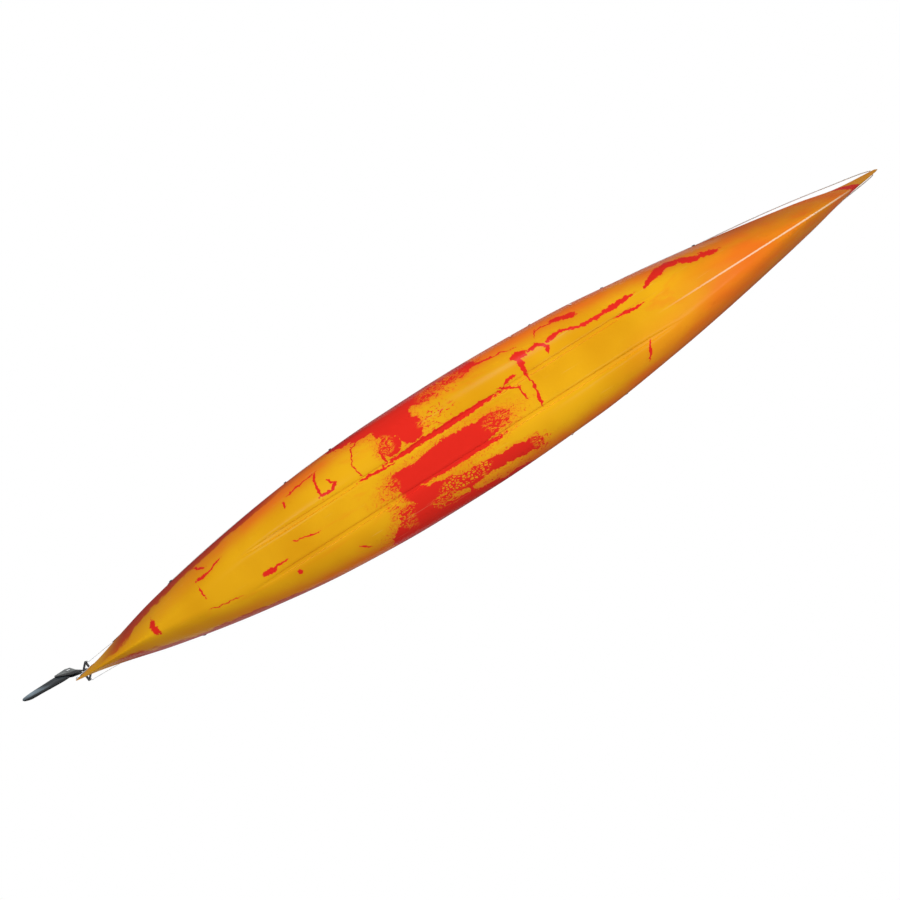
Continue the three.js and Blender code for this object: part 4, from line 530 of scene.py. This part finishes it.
def blade_coating():
    """Black gloss with a painted steel-blue highlight over the middle of the faces; it stays black along the
    leading edge, where the black also stands for shade.
    """
    f = Finish("blade_gloss", specular=0, coat=0.15)
    behind = past_line(f, BLADE_EDGE_REACH, BLADE_EDGE_Z, BLADE_EDGE_SLOPE)
    # painted highlight: steel blue over the middle of the faces, behind the leading edge
    highlight_face = f.step(f.plus(behind, f.noise(40, 3), 0.012), 0.03, 0.05)
    height = f.part("Z", f.place)
    middle = f.times(f.step(height, 0.03, 0.12, 0.3, 1), f.step(height, 0.22, 0.13, 0.1, 1))
    highlight_face = f.times(highlight_face, middle)
    cloud = f.noise(11, 3, 0.6, (1, 1, 0.6))
    tone = f.mix(f.times(highlight_face, f.step(cloud, 0.3, 0.65, 0.5, 1)), BLADE_BLACK, BLADE_HIGHLIGHT_BLUE)
    streaks = f.noise(120, 3, 0.6, (1, 1, 0.12))
    # paler streaks within the painted highlight
    tone = f.mix(f.times(f.step(streaks, 0.58, 0.72, 0, 0.3), highlight_face), tone, BLADE_HIGHLIGHT_STREAK)
    rough = f.step(f.noise(40, 4), 0.3, 0.7, 0.16, 0.34)
    return f.surfaced(tone, rough, f.bump(streaks, 0.0002, 0.3))


HOUSING_DARK = (0.05, 0.056, 0.055)
HOUSING_PALE = (0.2, 0.215, 0.21)
HOUSING_SHADE_BLACK = (0.012, 0.012, 0.013)
HOUSING_SALT = (0.4, 0.41, 0.4)
# The front and foot of the cheek plates, from the blade's pivot
HOUSING_FRONT, HOUSING_FOOT, HOUSING_SLOPE = 0.053, 0.042, 19.1


def housing_plate():
    """Grey, mottled cheek plates, with painted shade in black along their front and foot."""
    f = Finish("grey_anodised", metallic=0.3, specular=0.1)
    blotch = f.noise(70, 5, 0.68)
    tone = f.mix(f.step(blotch, 0.35, 0.66), HOUSING_DARK, HOUSING_PALE)
    above = past_line(f, PIVOT_REACH - HOUSING_FRONT, PIVOT_Z - HOUSING_FOOT, HOUSING_SLOPE)
    # painted shade: black along the front and foot of the cheek plates
    tone = f.mix(f.step(above, 0.024, 0.018), tone, HOUSING_SHADE_BLACK)
    salt = f.specks(240, 4, 0.66, 0.76, 0.4)
    tone = f.mix(salt, tone, HOUSING_SALT)
    rough = f.plus(f.step(blotch, 0.3, 0.7, 0.4, 0.6), salt, 0.3)
    return f.surfaced(tone, rough, f.bump(f.noise(160, 3, 0.6), 0.0002, 0.3))


STRAND_TURNS = 260
STRAND_WANDER = (0.0004, 0.0004, 0.0004)


def braided(name, colour, dark, fleck=None):
    """A braided cord, darker between its strands and in grimy patches, with flecks where a third colour is
    given.
    """
    f = Finish(name, sheen=0.2, specular=0.3)
    place = f.shifted(f.place, f.noise(500, 1, colour=True), STRAND_WANDER)
    left = f.wave(STRAND_TURNS, "DIAGONAL", place)
    right = f.wave(STRAND_TURNS, "DIAGONAL", f.vector("MULTIPLY", place, (1, -1, 1)))
    strands = f.most(left, right)
    grime = f.noise(34, 4, 0.65)
    tone = f.mix(f.step(strands, 0.15, 0.8), dark, colour)
    tone = f.mix(f.step(grime, 0.45, 0.75, 0, 0.45), tone, dark)
    if fleck:
        tone = f.mix(f.step(f.cells(150), 0.16, 0.1), tone, fleck)
    return f.surfaced(tone, f.step(grime, 0.3, 0.7, 0.68, 0.9), f.bump(strands, 0.0008, 0.7))


RUBBER_BLACK = (0.022, 0.023, 0.025)
RUBBER_BLOOM = (0.06, 0.062, 0.065)
RUBBER_DUST = (0.2, 0.19, 0.17)


def hatch_rubber():
    """Black rubber with a grey bloom and dust."""
    f = Finish("hatch_rubber", specular=0.4)
    bloom = f.noise(7, 5, 0.65)
    tone = f.mix(f.step(bloom, 0.35, 0.75), RUBBER_BLACK, RUBBER_BLOOM)
    tone = f.mix(f.specks(90, 5, 0.6, 0.75, 0.35), tone, RUBBER_DUST)
    return f.surfaced(tone, f.step(bloom, 0.3, 0.7, 0.5, 0.72), f.bump(f.noise(700, 2), 0.0005, 0.5))


LINE_WHITE, LINE_GREY = (0.74, 0.74, 0.71), (0.38, 0.38, 0.36)
CORD_BLACK, CORD_HOLLOW, CORD_FLECK = (0.035, 0.035, 0.037), (0.012, 0.012, 0.013), (0.5, 0.5, 0.5)

LOOKS = {
    "hull_plastic": marbled_plastic(),
    "foam": bulkhead_foam(),
    "black_plastic": black_moulding(),
    "seat_fabric": seat_weave(),
    "rubber": hatch_rubber(),
    "steel": stainless(),
    "aluminium": housing_plate(),
    "blade_coating": blade_coating(),
    "rope": braided("deck_line", LINE_WHITE, LINE_GREY),
    "bungee": braided("elastic_cord", CORD_BLACK, CORD_HOLLOW, CORD_FLECK),
}


# Meshes and pieces

def worked_in(piece):
    """The piece with its modifiers worked into its mesh."""
    graph = bpy.context.evaluated_depsgraph_get()
    mesh = bpy.data.meshes.new_from_object(piece.evaluated_get(graph))
    piece.modifiers.clear()
    piece.data = mesh
    return piece


def modified(piece, kind, **settings):
    modifier = piece.modifiers.new(kind.lower(), kind)
    for setting, value in settings.items():
        setattr(modifier, setting, value)
    return worked_in(piece)


def smooth(piece, angle):
    """Shades a piece smooth, except across edges sharper than an angle in degrees."""
    mesh = piece.data
    mesh.polygons.foreach_set("use_smooth", [True] * len(mesh.polygons))
    mesh.set_sharp_from_angle(angle=radians(angle))


def clothe(piece, slot, body, node):
    """Gives a piece its look, hangs it on its body where one is given and hides the node that it stands for.
    """
    piece.data.materials.clear()
    piece.data.materials.append(LOOKS[slot])
    if body:
        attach(piece, body)
    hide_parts(node)
    return piece


def body_of(node):
    """The moving body that a node belongs to."""
    for name, members in frame["record"]["behaviour"]["bodies"].items():
        if node in members:
            return name


SAME_POINT = 2e-6


def copied(node, name, flat_angle=0):
    """The node's own mesh, welded, with faces within an angle in degrees made one."""
    mesh = NODES[node].data.copy()
    shape = bmesh.new()
    shape.from_mesh(mesh)
    bmesh.ops.remove_doubles(shape, verts=shape.verts, dist=SAME_POINT)
    if flat_angle:
        limit = radians(flat_angle)
        bmesh.ops.dissolve_limit(shape, angle_limit=limit, verts=shape.verts, edges=shape.edges)
    shape.to_mesh(mesh)
    shape.free()
    mesh.name = name
    return linked(name, mesh)


def rounded_edges(piece, width, segments=2, angle=28):
    limit = radians(angle)
    return modified(piece, "BEVEL", width=width, segments=segments, limit_method="ANGLE", angle_limit=limit)


def dressed(node, bevel, segments=2, smooth_angle=40):
    """A hard fitting: the node's shape with its edges rounded over."""
    piece = copied(node, node + "_fitted", 1)
    if bevel:
        rounded_edges(piece, bevel, segments)
    smooth(piece, smooth_angle)
    return clothe(piece, SLOTS[node], body_of(node), node)


def rounded_cord(node, body=None):
    """A faceted cord made round."""
    piece = copied(node, node + "_cord")
    modified(piece, "SUBSURF", levels=1, render_levels=1)
    smooth(piece, 70)
    return clothe(piece, SLOTS[node], body, node)


def closed_mesh(name, points, faces):
    mesh = bpy.data.meshes.new(name)
    mesh.from_pydata([tuple(p) for p in points], [], faces)
    shape = bmesh.new()
    shape.from_mesh(mesh)
    bmesh.ops.recalc_face_normals(shape, faces=shape.faces)
    shape.to_mesh(mesh)
    shape.free()
    return linked(name, mesh)


def tube(name, rings, closed=False):
    """A skin over rings of points. It is capped at both ends, or closed round onto itself."""
    count = len(rings[0])
    points = [p for ring in rings for p in ring]
    faces = []
    spans = len(rings) if closed else len(rings) - 1
    for r in range(spans):
        a, b = r * count, ((r + 1) % len(rings)) * count
        faces += [(a + k, a + (k + 1) % count, b + (k + 1) % count, b + k) for k in range(count)]
    if not closed:
        faces.append(tuple(range(count)))
        faces.append(tuple(reversed(range((len(rings) - 1) * count, len(rings) * count))))
    return closed_mesh(name, points, faces)


def combine(target, tool, operation):
    """Joins a tool to the target or cuts it out, and removes the tool."""
    modified(target, "BOOLEAN", operation=operation, object=tool, solver="MANIFOLD")
    bpy.data.objects.remove(tool)


# Hull

LENGTH, BEAM, DEPTH, WALL = 4.95, 0.624, 0.385, 0.0055
STERN_X, BOW_X = -LENGTH / 2, LENGTH / 2
CHANNEL_SPACING, CHANNEL_WIDTH, CHANNEL_DEPTH, FLAT_HALF_WIDTH = 0.176, 0.027, 0.005, 0.072


def eased(t):
    """0 to 1, level at both ends."""
    return t * t * (3 - 2 * t)


def line(table):
    """A smooth line through a table of shares, which never swings past its points."""
    places = [p[0] for p in table]
    slopes = [(b[1] - a[1]) / (b[0] - a[0]) for a, b in zip(table, table[1:])]
    tangents = [slopes[0]]
    for a, b in zip(slopes, slopes[1:]):
        tangents.append(0 if a * b <= 0 else 2 * a * b / (a + b))
    tangents.append(slopes[-1])

    def value(share):
        if share <= places[0]:
            return table[0][1]
        if share >= places[-1]:
            return table[-1][1]
        k = bisect(places, share) - 1
        span = places[k + 1] - places[k]
        t = (share - places[k]) / span
        rise = eased(t)
        bend = span * t * (1 - t) * ((1 - t) * tangents[k] - t * tangents[k + 1])
        return table[k][1] * (1 - rise) + table[k + 1][1] * rise + bend

    return value


# Each as share of the length from the stern and share of the size it follows
half_beam_line = line([
    (0, 0.022), (0.02, 0.088), (0.05, 0.229), (0.1, 0.432), (0.2, 0.714), (0.3, 0.905), (0.4, 0.991),
    (0.47, 1), (0.6, 0.926), (0.7, 0.757), (0.8, 0.532), (0.9, 0.264), (0.95, 0.1), (1, 0.024),
])
keel_line = line([
    (0, 0.43), (0.01, 0.26), (0.02, 0.18), (0.04, 0.104), (0.07, 0.052), (0.12, 0.016), (0.2, 0), (0.78, 0),
    (0.85, 0.03), (0.9, 0.104), (0.93, 0.195), (0.95, 0.31), (0.97, 0.49), (0.985, 0.67), (1, 0.89),
])
sheer_line = line([
    (0, 0.74), (0.1, 0.68), (0.2, 0.6), (0.35, 0.53), (0.5, 0.515), (0.65, 0.53), (0.8, 0.62), (0.9, 0.74),
    (0.95, 0.83), (1, 0.945),
])
deck_line = line([
    (0, 0.79), (0.05, 0.779), (0.1, 0.745), (0.2, 0.68), (0.3, 0.662), (0.4, 0.68), (0.46, 0.75),
    (0.52, 0.84), (0.57, 0.91), (0.62, 0.922), (0.7, 0.897), (0.8, 0.87), (0.9, 0.886), (0.95, 0.93), (1, 1),
])
hull_fullness = line([
    (0, 1.25), (0.06, 1.3), (0.15, 1.6), (0.3, 2.2), (0.5, 2.4), (0.7, 2.1), (0.85, 1.5), (0.94, 1.25),
    (1, 1.15),
])
deck_fullness = line([
    (0, 2.2), (0.3, 2.6), (0.42, 2.6), (0.5, 2.2), (0.6, 1.75), (0.75, 1.6), (0.9, 1.6), (1, 1.8),
])
flat_line = line([(0.1, 0), (0.3, 1), (0.7, 1), (0.88, 0)])
channel_line = line([(0.215, 0), (0.27, 1), (0.66, 1), (0.715, 0)])

# The flat bottom, and the channels' place and width, never take more of the half beam than this
FLAT_LIMIT_SHARE, CHANNEL_LIMIT_SHARE = 0.44, 0.3
CHANNEL_END_WIDTH_SHARE = 0.35
CHANNEL_SLOPE_SHARE = 0.5


class Station:
    """The lines of the hull at one place along it, moved in from the outer skin by inset."""

    def __init__(self, x, inset=0):
        share = (x - STERN_X) / LENGTH
        self.x = x
        self.half = half_beam_line(share) * BEAM / 2 - inset
        self.keel = keel_line(share) * DEPTH + inset
        self.edge = sheer_line(share) * DEPTH
        self.crown = deck_line(share) * DEPTH - inset
        self.fullness = hull_fullness(share)
        self.deck_fullness = deck_fullness(share)
        self.flat = min(flat_line(share) * FLAT_HALF_WIDTH, self.half * FLAT_LIMIT_SHARE)
        self.channel = channel_line(share)

    def bottom(self, y):
        across = min(1, max(0, abs(y) - self.flat) / (self.half - self.flat))
        return self.edge - (self.edge - self.keel) * (1 - across ** self.fullness) ** (1 / self.fullness)

    def deck(self, y):
        across = min(1, abs(y) / self.half)
        rise = (1 - across ** self.deck_fullness) ** (1 / self.deck_fullness)
        return self.edge + (self.crown - self.edge) * rise

    def half_section(self, keel_steps, channel_steps, bilge_steps, deck_steps):
        """Points from the keel round the bilge to the middle of the deck."""
        middle = min(CHANNEL_SPACING / 2, self.half * FLAT_LIMIT_SHARE)
        width = min(CHANNEL_WIDTH, self.half * CHANNEL_LIMIT_SHARE)
        width *= CHANNEL_END_WIDTH_SHARE + (1 - CHANNEL_END_WIDTH_SHARE) * self.channel
        start, lip = middle - width / 2, middle + width / 2
        points = [(y, self.bottom(y)) for y in (start * (k / keel_steps) ** 1.3 for k in range(keel_steps))]
        for k in range(channel_steps + 1):
            y = start + width * k / channel_steps
            off = abs(y - middle) / (width / 2)
            sunk = eased(min(1, max(0, (1 - off) / CHANNEL_SLOPE_SHARE)))
            points.append((y, self.bottom(y) + CHANNEL_DEPTH * self.channel * sunk))
        power = 2 / self.fullness
        first = asin(min(1, max(0, (lip - self.flat) / (self.half - self.flat)) ** (1 / power)))
        for k in range(1, bilge_steps + 1):
            turn = first + (pi / 2 - first) * k / bilge_steps
            y = self.flat + (self.half - self.flat) * sin(turn) ** power
            points.append((y, self.edge - (self.edge - self.keel) * max(0, cos(turn)) ** power))
        deck_power = 2 / self.deck_fullness
        for k in range(deck_steps - 1, -1, -1):
            turn = pi / 2 * k / deck_steps
            z = self.edge + (self.crown - self.edge) * cos(turn) ** deck_power
            points.append((self.half * sin(turn) ** deck_power, z))
        return points

    def ring(self, *steps):
        half = self.half_section(*steps)
        return [(self.x, y, z) for y, z in half] + [(self.x, -y, z) for y, z in reversed(half[1:-1])]


# How strongly the rings crowd towards the ends
RING_CROWDING = 0.75
NOSE_RADIUS = 0.004
NOSE_STEPS, NOSE_TIP_SHARE = 5, 0.6
OUTER_RINGS, OUTER_STEPS = 210, (8, 12, 18, 14)
INNER_RINGS, INNER_STEPS = 110, (5, 8, 12, 9)
INSIDE_START_SHARE, INSIDE_END_SHARE = 0.035, 0.96
# An oval opening, its front narrower by a share
Mouth = namedtuple("Mouth", "x length width front")
COCKPIT = Mouth(-0.06, 0.82, 0.43, 0.12)
BOW_HATCH = Mouth(LENGTH * 0.24, 0.21, 0.21, 0)
STERN_HATCH = Mouth(LENGTH * -0.27, 0.42, 0.25, 0)
COAMING_REAR_Z, COAMING_FRONT_Z, COAMING_LIP = 0.291, 0.384, 0.022
HATCH_RIM_STAND = 0.014
MOUTH_CLEARANCE, MOUTH_LOW_Z, MOUTH_HIGH_Z = 0.0015, 0.19, 0.7
RIM_EDGE_RADIUS, LIP_ROOT_RADIUS = 0.0024, 0.004
# The flare at a rim's foot: how far out from its wall and how high above the deck
RIM_FLARE = (
    (0, 0.012), (0.0006, 0.007), (0.0025, 0.0035), (0.006, 0.0012), (0.011, 0.0002), (0.014, -0.0014),
)
RIM_FOOT_OUT, RIM_FOOT_SUNK = 0.014, 0.0045
LINE_HOLE_SETBACK, LINE_HOLE_RADIUS, LINE_HOLE_STEPS = 0.035, 0.005, 24
OVAL_STEPS = 144


def hull_skin(from_x, to_x, inset, count, steps):
    """Rings along the hull, closer together towards its ends."""
    rings = []
    for k in range(count + 1):
        t = k / count
        t -= RING_CROWDING * sin(2 * pi * t) / (2 * pi)
        rings.append(Station(from_x + (to_x - from_x) * t, inset).ring(*steps))
    return rings


def rounded_ends(rings):
    """Draws the first and the last rings in to a round nose."""
    made = list(rings)
    for sign in (-1, 1):
        ring = made[-1] if sign > 0 else made[0]
        middle_z = sum(p[2] for p in ring) / len(ring)
        for k in range(1, NOSE_STEPS):
            turn = pi / 2 * k / (NOSE_STEPS - NOSE_TIP_SHARE)
            draw = cos(turn)
            shift = NOSE_RADIUS * (1 - draw)
            drawn = []
            for x, y, z in ring:
                inwards = copysign(min(shift, abs(middle_z - z)), middle_z - z)
                drawn.append((x + sign * NOSE_RADIUS * sin(turn), y * draw, z + inwards))
            made.insert(len(made) if sign > 0 else 0, drawn)
    return made


def circle(count):
    """The turns of points all round."""
    return [2 * pi * k / count for k in range(count)]


def oval(at, turn, grow=0, share=1):
    """A point of a mouth's outline, which is narrower at its front."""
    narrow = 1 - at.front * cos(turn)
    x = (at.length / 2 + grow) * cos(turn)
    y = (at.width / 2 + grow) * sin(turn) * narrow
    return at.x + share * x, share * y


def coaming_z(x):
    share = (x - COCKPIT.x + COCKPIT.length / 2) / COCKPIT.length
    return COAMING_REAR_Z + (COAMING_FRONT_Z - COAMING_REAR_Z) * share


def hatch_rim_z(hatch):
    ends = [hatch.x + side * (hatch.length / 2 + WALL) for side in (-1, 0, 1)]
    return max(Station(x).crown for x in ends) + HATCH_RIM_STAND


def arc(out, z, radius, from_deg, to_deg, steps=4):
    """Points of a rounding about (out, z)."""
    turns = [radians(from_deg + (to_deg - from_deg) * k / steps) for k in range(steps + 1)]
    return [(out + radius * cos(t), z + radius * sin(t)) for t in turns]


def moulded_ring(name, at, top, lip):
    """A rim moulded on the deck: its wall, its rolled edge or lip and the flare at its foot."""
    r, root = RIM_EDGE_RADIUS, LIP_ROOT_RADIUS
    above = arc(r, -r, r, 180, 90)
    if lip:
        above += arc(WALL + lip - r, -r, r, 90, -90)
        above += arc(WALL + root, -2 * r - root, root, 90, 180)
    else:
        above += arc(WALL - r, -r, r, 90, 0)
    on_deck = [(WALL + out, rise) for out, rise in RIM_FLARE]
    on_deck += [(WALL + RIM_FOOT_OUT, -RIM_FOOT_SUNK), (0, -RIM_FOOT_SUNK)]
    rings = []
    for turn in circle(OVAL_STEPS):
        ring = [(*oval(at, turn, out), z) for out, z in above + on_deck]
        edge = [(x, y, top(x) + z) for x, y, z in ring[:len(above)]]
        foot = [(x, y, Station(x).deck(y) + z) for x, y, z in ring[len(above):]]
        rings.append(edge + foot)
    return tube(name, rings, closed=True)


def level_oval(at, grow, z, share=1):
    return [(*oval(at, turn, grow, share), z) for turn in circle(OVAL_STEPS)]


def line_hole():
    """A cross hole in the bow's tip, which the bow line goes through."""
    x = BOW_X - LINE_HOLE_SETBACK
    z = (Station(x).keel + Station(x).crown) / 2
    hole = [(x + LINE_HOLE_RADIUS * cos(t), z + LINE_HOLE_RADIUS * sin(t)) for t in circle(LINE_HOLE_STEPS)]
    return tube("line_hole", [[(a, y, b) for a, b in hole] for y in (-BEAM / 2, BEAM / 2)])


def make_hull():
    """The moulding with its channels, coaming, hatch rims and cross hole, hollow inside."""
    outer = hull_skin(STERN_X + NOSE_RADIUS, BOW_X - NOSE_RADIUS, 0, OUTER_RINGS, OUTER_STEPS)
    hull = tube("hull_moulding", rounded_ends(outer))
    inside = (STERN_X + LENGTH * INSIDE_START_SHARE, STERN_X + LENGTH * INSIDE_END_SHARE)
    combine(hull, tube("inside", hull_skin(*inside, WALL, INNER_RINGS, INNER_STEPS)), "DIFFERENCE")
    for at in (COCKPIT, BOW_HATCH, STERN_HATCH):
        mouth = [level_oval(at, MOUTH_CLEARANCE, z) for z in (MOUTH_LOW_Z, MOUTH_HIGH_Z)]
        combine(hull, tube("mouth", mouth), "DIFFERENCE")
    combine(hull, moulded_ring("coaming", COCKPIT, coaming_z, COAMING_LIP), "UNION")
    for at in (BOW_HATCH, STERN_HATCH):
        rim = hatch_rim_z(at)
        combine(hull, moulded_ring("rim", at, lambda x: rim, 0), "UNION")
    combine(hull, line_hole(), "DIFFERENCE")
    smooth(hull, 38)
    clothe(hull, "hull_plastic", "hull", "hull_shell")


make_hull()


# Hatch covers

COVER_STAND, COVER_SKIRT, COVER_CLEARANCE, COVER_WALL = 0.0044, 0.009, 0.0004, 0.004
COVER_SINK = 0.0004
RIB_HEIGHT = 0.0012
# The cover's top, from the middle out: share of the oval, height above its edge and how far the ribs stand
COVER_TOP = (
    (0.06, 0.0018, 0), (0.2, 0.0017, 0.3), (0.4, 0.0014, 1), (0.6, 0.001, 1), (0.76, 0.0006, 1),
    (0.84, 0.0003, 0), (0.865, -0.0012, 0), (0.89, -0.0013, 0), (0.915, 0.0002, 0), (0.97, 0.0004, 0),
    (1, 0, 0),
)


def make_hatch_cover(node, hatch, ribs):
    """A domed rubber lid with a rolled edge, a sealing groove and low ribs."""
    rim = hatch_rim_z(hatch)
    top = rim + COVER_STAND
    skirt = rim - COVER_SKIRT
    bore = WALL + COVER_CLEARANCE
    edge = bore + COVER_WALL
    rings = []
    for share, height, stand in COVER_TOP:
        ring = []
        for turn in circle(OVAL_STEPS):
            rib = max(0, cos(ribs * turn)) ** 6 * RIB_HEIGHT * stand
            ring.append((*oval(hatch, turn, 0, share), top + height - COVER_SINK + rib))
        rings.append(ring)
    below = (
        (edge - 0.004, top - 0.0002), (edge - 0.0016, top - 0.0008), (edge - 0.0004, top - 0.002),
        (edge, top - 0.004), (edge, skirt + 0.003), (edge, skirt + 0.0012), (edge - 0.0008, skirt + 0.0002),
        (edge - 0.002, skirt), (bore + 0.0006, skirt + 0.0002), (bore, skirt + 0.001),
        (bore, rim + 0.0002), (bore - 0.002, rim + 0.0004),
    )
    rings += [level_oval(hatch, out, z) for out, z in below]
    rings.append(level_oval(hatch, 0, rim + 0.0004, 0.5))
    cover = tube(node + "_lid", rings)
    smooth(cover, 50)
    clothe(cover, "rubber", body_of(node), node)


make_hatch_cover("bow_hatch_cover", BOW_HATCH, 12)
make_hatch_cover("stern_hatch_cover", STERN_HATCH, 16)


# Seat and backrest

PAD_VOXEL = 0.0045
STUFFING = {"mass": 0.3, "tension_stiffness": 12, "compression_stiffness": 12, "bending_stiffness": 0.6,
            "use_pressure": True, "uniform_pressure_force": 4, "quality": 5}
STUFFING_FRAMES = 20


def points_and_normals(piece):
    mesh = piece.data
    both = []
    for kind in ("co", "normal"):
        values = np.empty(len(mesh.vertices) * 3)
        mesh.vertices.foreach_get(kind, values)
        both.append(values.reshape(-1, 3))
    return both


def put_points(piece, points):
    piece.data.vertices.foreach_set("co", points.reshape(-1))
    piece.data.update()


def blown_up(piece):
    cloth = piece.modifiers.new("stuffing", "CLOTH")
    for setting, value in STUFFING.items():
        setattr(cloth.settings, setting, value)
    cloth.settings.effector_weights.gravity = 0
    for moment in range(1, STUFFING_FRAMES + 1):
        SCENE.frame_set(moment)
    worked_in(piece)
    SCENE.frame_set(1)


def stuffed(piece, slack, cap, floor=-inf):
    """A padded piece. Its skin starts inside its solid by slack and swells, no point further than cap."""
    modified(piece, "REMESH", mode="VOXEL", voxel_size=PAD_VOXEL)
    points, normals = points_and_normals(piece)
    start = points - normals * slack
    put_points(piece, start)
    blown_up(piece)
    moved = points_and_normals(piece)[0] - start
    far = np.linalg.norm(moved, axis=1, keepdims=True)
    kept = start + moved * np.minimum(1, cap / np.maximum(far, 1e-9))
    kept[:, 2] = np.maximum(kept[:, 2], floor)
    put_points(piece, kept)
    modified(piece, "SMOOTH", factor=0.5, iterations=2)
    return modified(piece, "SUBSURF", levels=1, render_levels=1)


STITCH_WIDTH = 0.0045
# Skin within about 50 degrees of the stitched side is pressed in full
FACING_GAIN = 1.6


def stitched(piece, axis, lines, facing, depth):
    """Presses sewn channels into the side of a padded piece that faces a direction."""
    points, normals = points_and_normals(piece)
    faces_out = np.clip(normals @ np.array(facing) * FACING_GAIN, 0, 1)
    press = sum(np.exp(-((points[:, axis] - at) / STITCH_WIDTH) ** 2) for at in lines)
    put_points(piece, points - normals * (depth * press * faces_out)[:, None])


PIPING_TURNS, PIPING_BENDS = 120, 8
PIPING_LIFT = 0.1


def piping(name, piece, radius):
    """A sewn edge cord round the outline of a cushion, a little sunk into it."""
    points = points_and_normals(piece)[0]
    middle = (points.min(axis=0) + points.max(axis=0)) / 2
    off_x, off_y = points[:, 0] - middle[0], points[:, 1] - middle[1]
    around, reach = np.arctan2(off_y, off_x), np.hypot(off_x, off_y)
    turns = [turn - pi + pi / PIPING_TURNS for turn in circle(PIPING_TURNS)]
    far = [reach[np.abs(around - turn) < 1.2 * pi / PIPING_TURNS].max() for turn in turns]
    height = middle[2] + PIPING_LIFT * (points[:, 2].max() - middle[2])
    rings = []
    for k, turn in enumerate(turns):
        even = sum(far[(k + j) % PIPING_TURNS] for j in (-2, -1, 0, 1, 2)) / 5
        ring = []
        for bend in circle(PIPING_BENDS):
            out = even - radius * 0.5 + radius * cos(bend)
            place = (middle[0] + out * cos(turn), middle[1] + out * sin(turn))
            ring.append((*place, height + radius * sin(bend)))
        rings.append(ring)
    cord = tube(name, rings, closed=True)
    smooth(cord, 70)
    return cord


PAD_SLACK, PAD_CAP = 0.005, 0.0055
PAD_FLOOR_GAP = 0.0003
PAD_CHANNELS, PAD_CHANNEL_DEPTH = (-0.045, 0.045), 0.0032
PIPING_RADIUS = 0.0024


def make_seat_pad():
    """A sewn foam cushion with a crown, two sewn channels and a piped edge."""
    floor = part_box("seat_pad")[0].z + PAD_FLOOR_GAP
    pad = stuffed(copied("seat_pad", "seat_cushion"), PAD_SLACK, PAD_CAP, floor)
    stitched(pad, 1, PAD_CHANNELS, (0, 0, 1), PAD_CHANNEL_DEPTH)
    cord = piping("seat_cushion_piping", pad, PIPING_RADIUS)
    smooth(pad, 80)
    clothe(pad, "seat_fabric", "hull", "seat_pad")
    clothe(cord, "black_plastic", "hull", "seat_pad")


def cut_off(piece, x, keep_rear):
    shape = bmesh.new()
    shape.from_mesh(piece.data)
    everything = shape.verts[:] + shape.edges[:] + shape.faces[:]
    cut = bmesh.ops.bisect_plane(shape, geom=everything, plane_co=(x, 0, 0), plane_no=(1, 0, 0),
                                 clear_outer=keep_rear, clear_inner=not keep_rear)
    rim = [e for e in cut["geom_cut"] if isinstance(e, bmesh.types.BMEdge)]
    bmesh.ops.holes_fill(shape, edges=rim)
    shape.to_mesh(piece.data)
    shape.free()
    return piece


BAND_SLACK, BAND_CAP = 0.003, 0.0045
BAND_LENGTH, ARM_OVERLAP = 0.04, 0.006
# Front and rear side of the band
BAND_CHANNEL_DEPTHS = ((1, 0.0028), (-1, 0.0016))


def make_backrest():
    """A padded band with sewn channels on two stiff arms."""
    low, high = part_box("backrest")
    end_x = low.x + BAND_LENGTH
    band = stuffed(cut_off(copied("backrest", "backrest_pad"), end_x, True), BAND_SLACK, BAND_CAP)
    third = (high.z - low.z) / 3
    channels = (low.z + third, high.z - third)
    for way, depth in BAND_CHANNEL_DEPTHS:
        stitched(band, 2, channels, (way, 0, 0), depth)
    smooth(band, 80)
    clothe(band, "seat_fabric", "backrest", "backrest")
    arms = cut_off(copied("backrest", "backrest_arms"), end_x - ARM_OVERLAP, False)
    rounded_edges(arms, 0.0009, angle=30)
    smooth(arms, 40)
    clothe(arms, "black_plastic", "backrest", "backrest")


make_seat_pad()
make_backrest()


# Fittings, cords and wires

dressed("rudder_blade", 0.0024, segments=3)
for node in ("rudder_bracket", "rudder_pivot_pin", "rudder_yoke", "rudder_housing", "rudder_stow_chock"):
    dressed(node, 0.0011)
dressed("blade_pivot_bolt", 0.0006)
dressed("seat_pan", 0.0016, segments=3)
for side in ("left", "right"):
    dressed(f"thigh_brace_{side}", 0.0016, segments=3)
    dressed(f"footrest_rail_{side}", 0.0012)
    dressed(f"rudder_pedal_{side}", 0.0014)
    for small in ("cable_link_{}", "seat_bolt_{}", "footrest_screw_{}_rear", "footrest_screw_{}_front"):
        dressed(small.format(side), 0.0006)
for end in ("bow", "stern"):
    dressed(f"{end}_bulkhead", 0.003)
    dressed(f"{end}_toggle", 0, smooth_angle=60)
    for eye in ("handle_eye", *(f"eye_{side}_{k}" for side in ("left", "right") for k in (1, 2, 3))):
        dressed(f"{end}_{eye}", 0.0009)
CORDS = (
    "cable_conduit_left", "cable_conduit_right", "deck_line_stern_left", "deck_line_stern_right",
    "deck_line_bow", "foredeck_bungee", "aftdeck_bungee", "bow_toggle_loop", "stern_toggle_loop",
    "rudder_lift_line",
)
for node in CORDS:
    rounded_cord(node, body_of(node))


def make_wire(node):
    """A wire made round, with its place worked into its mesh."""
    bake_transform(rounded_cord(node))


for side in ("left", "right"):
    make_wire(f"rudder_cable_{side}")
    make_wire(f"pedal_wire_{side}")
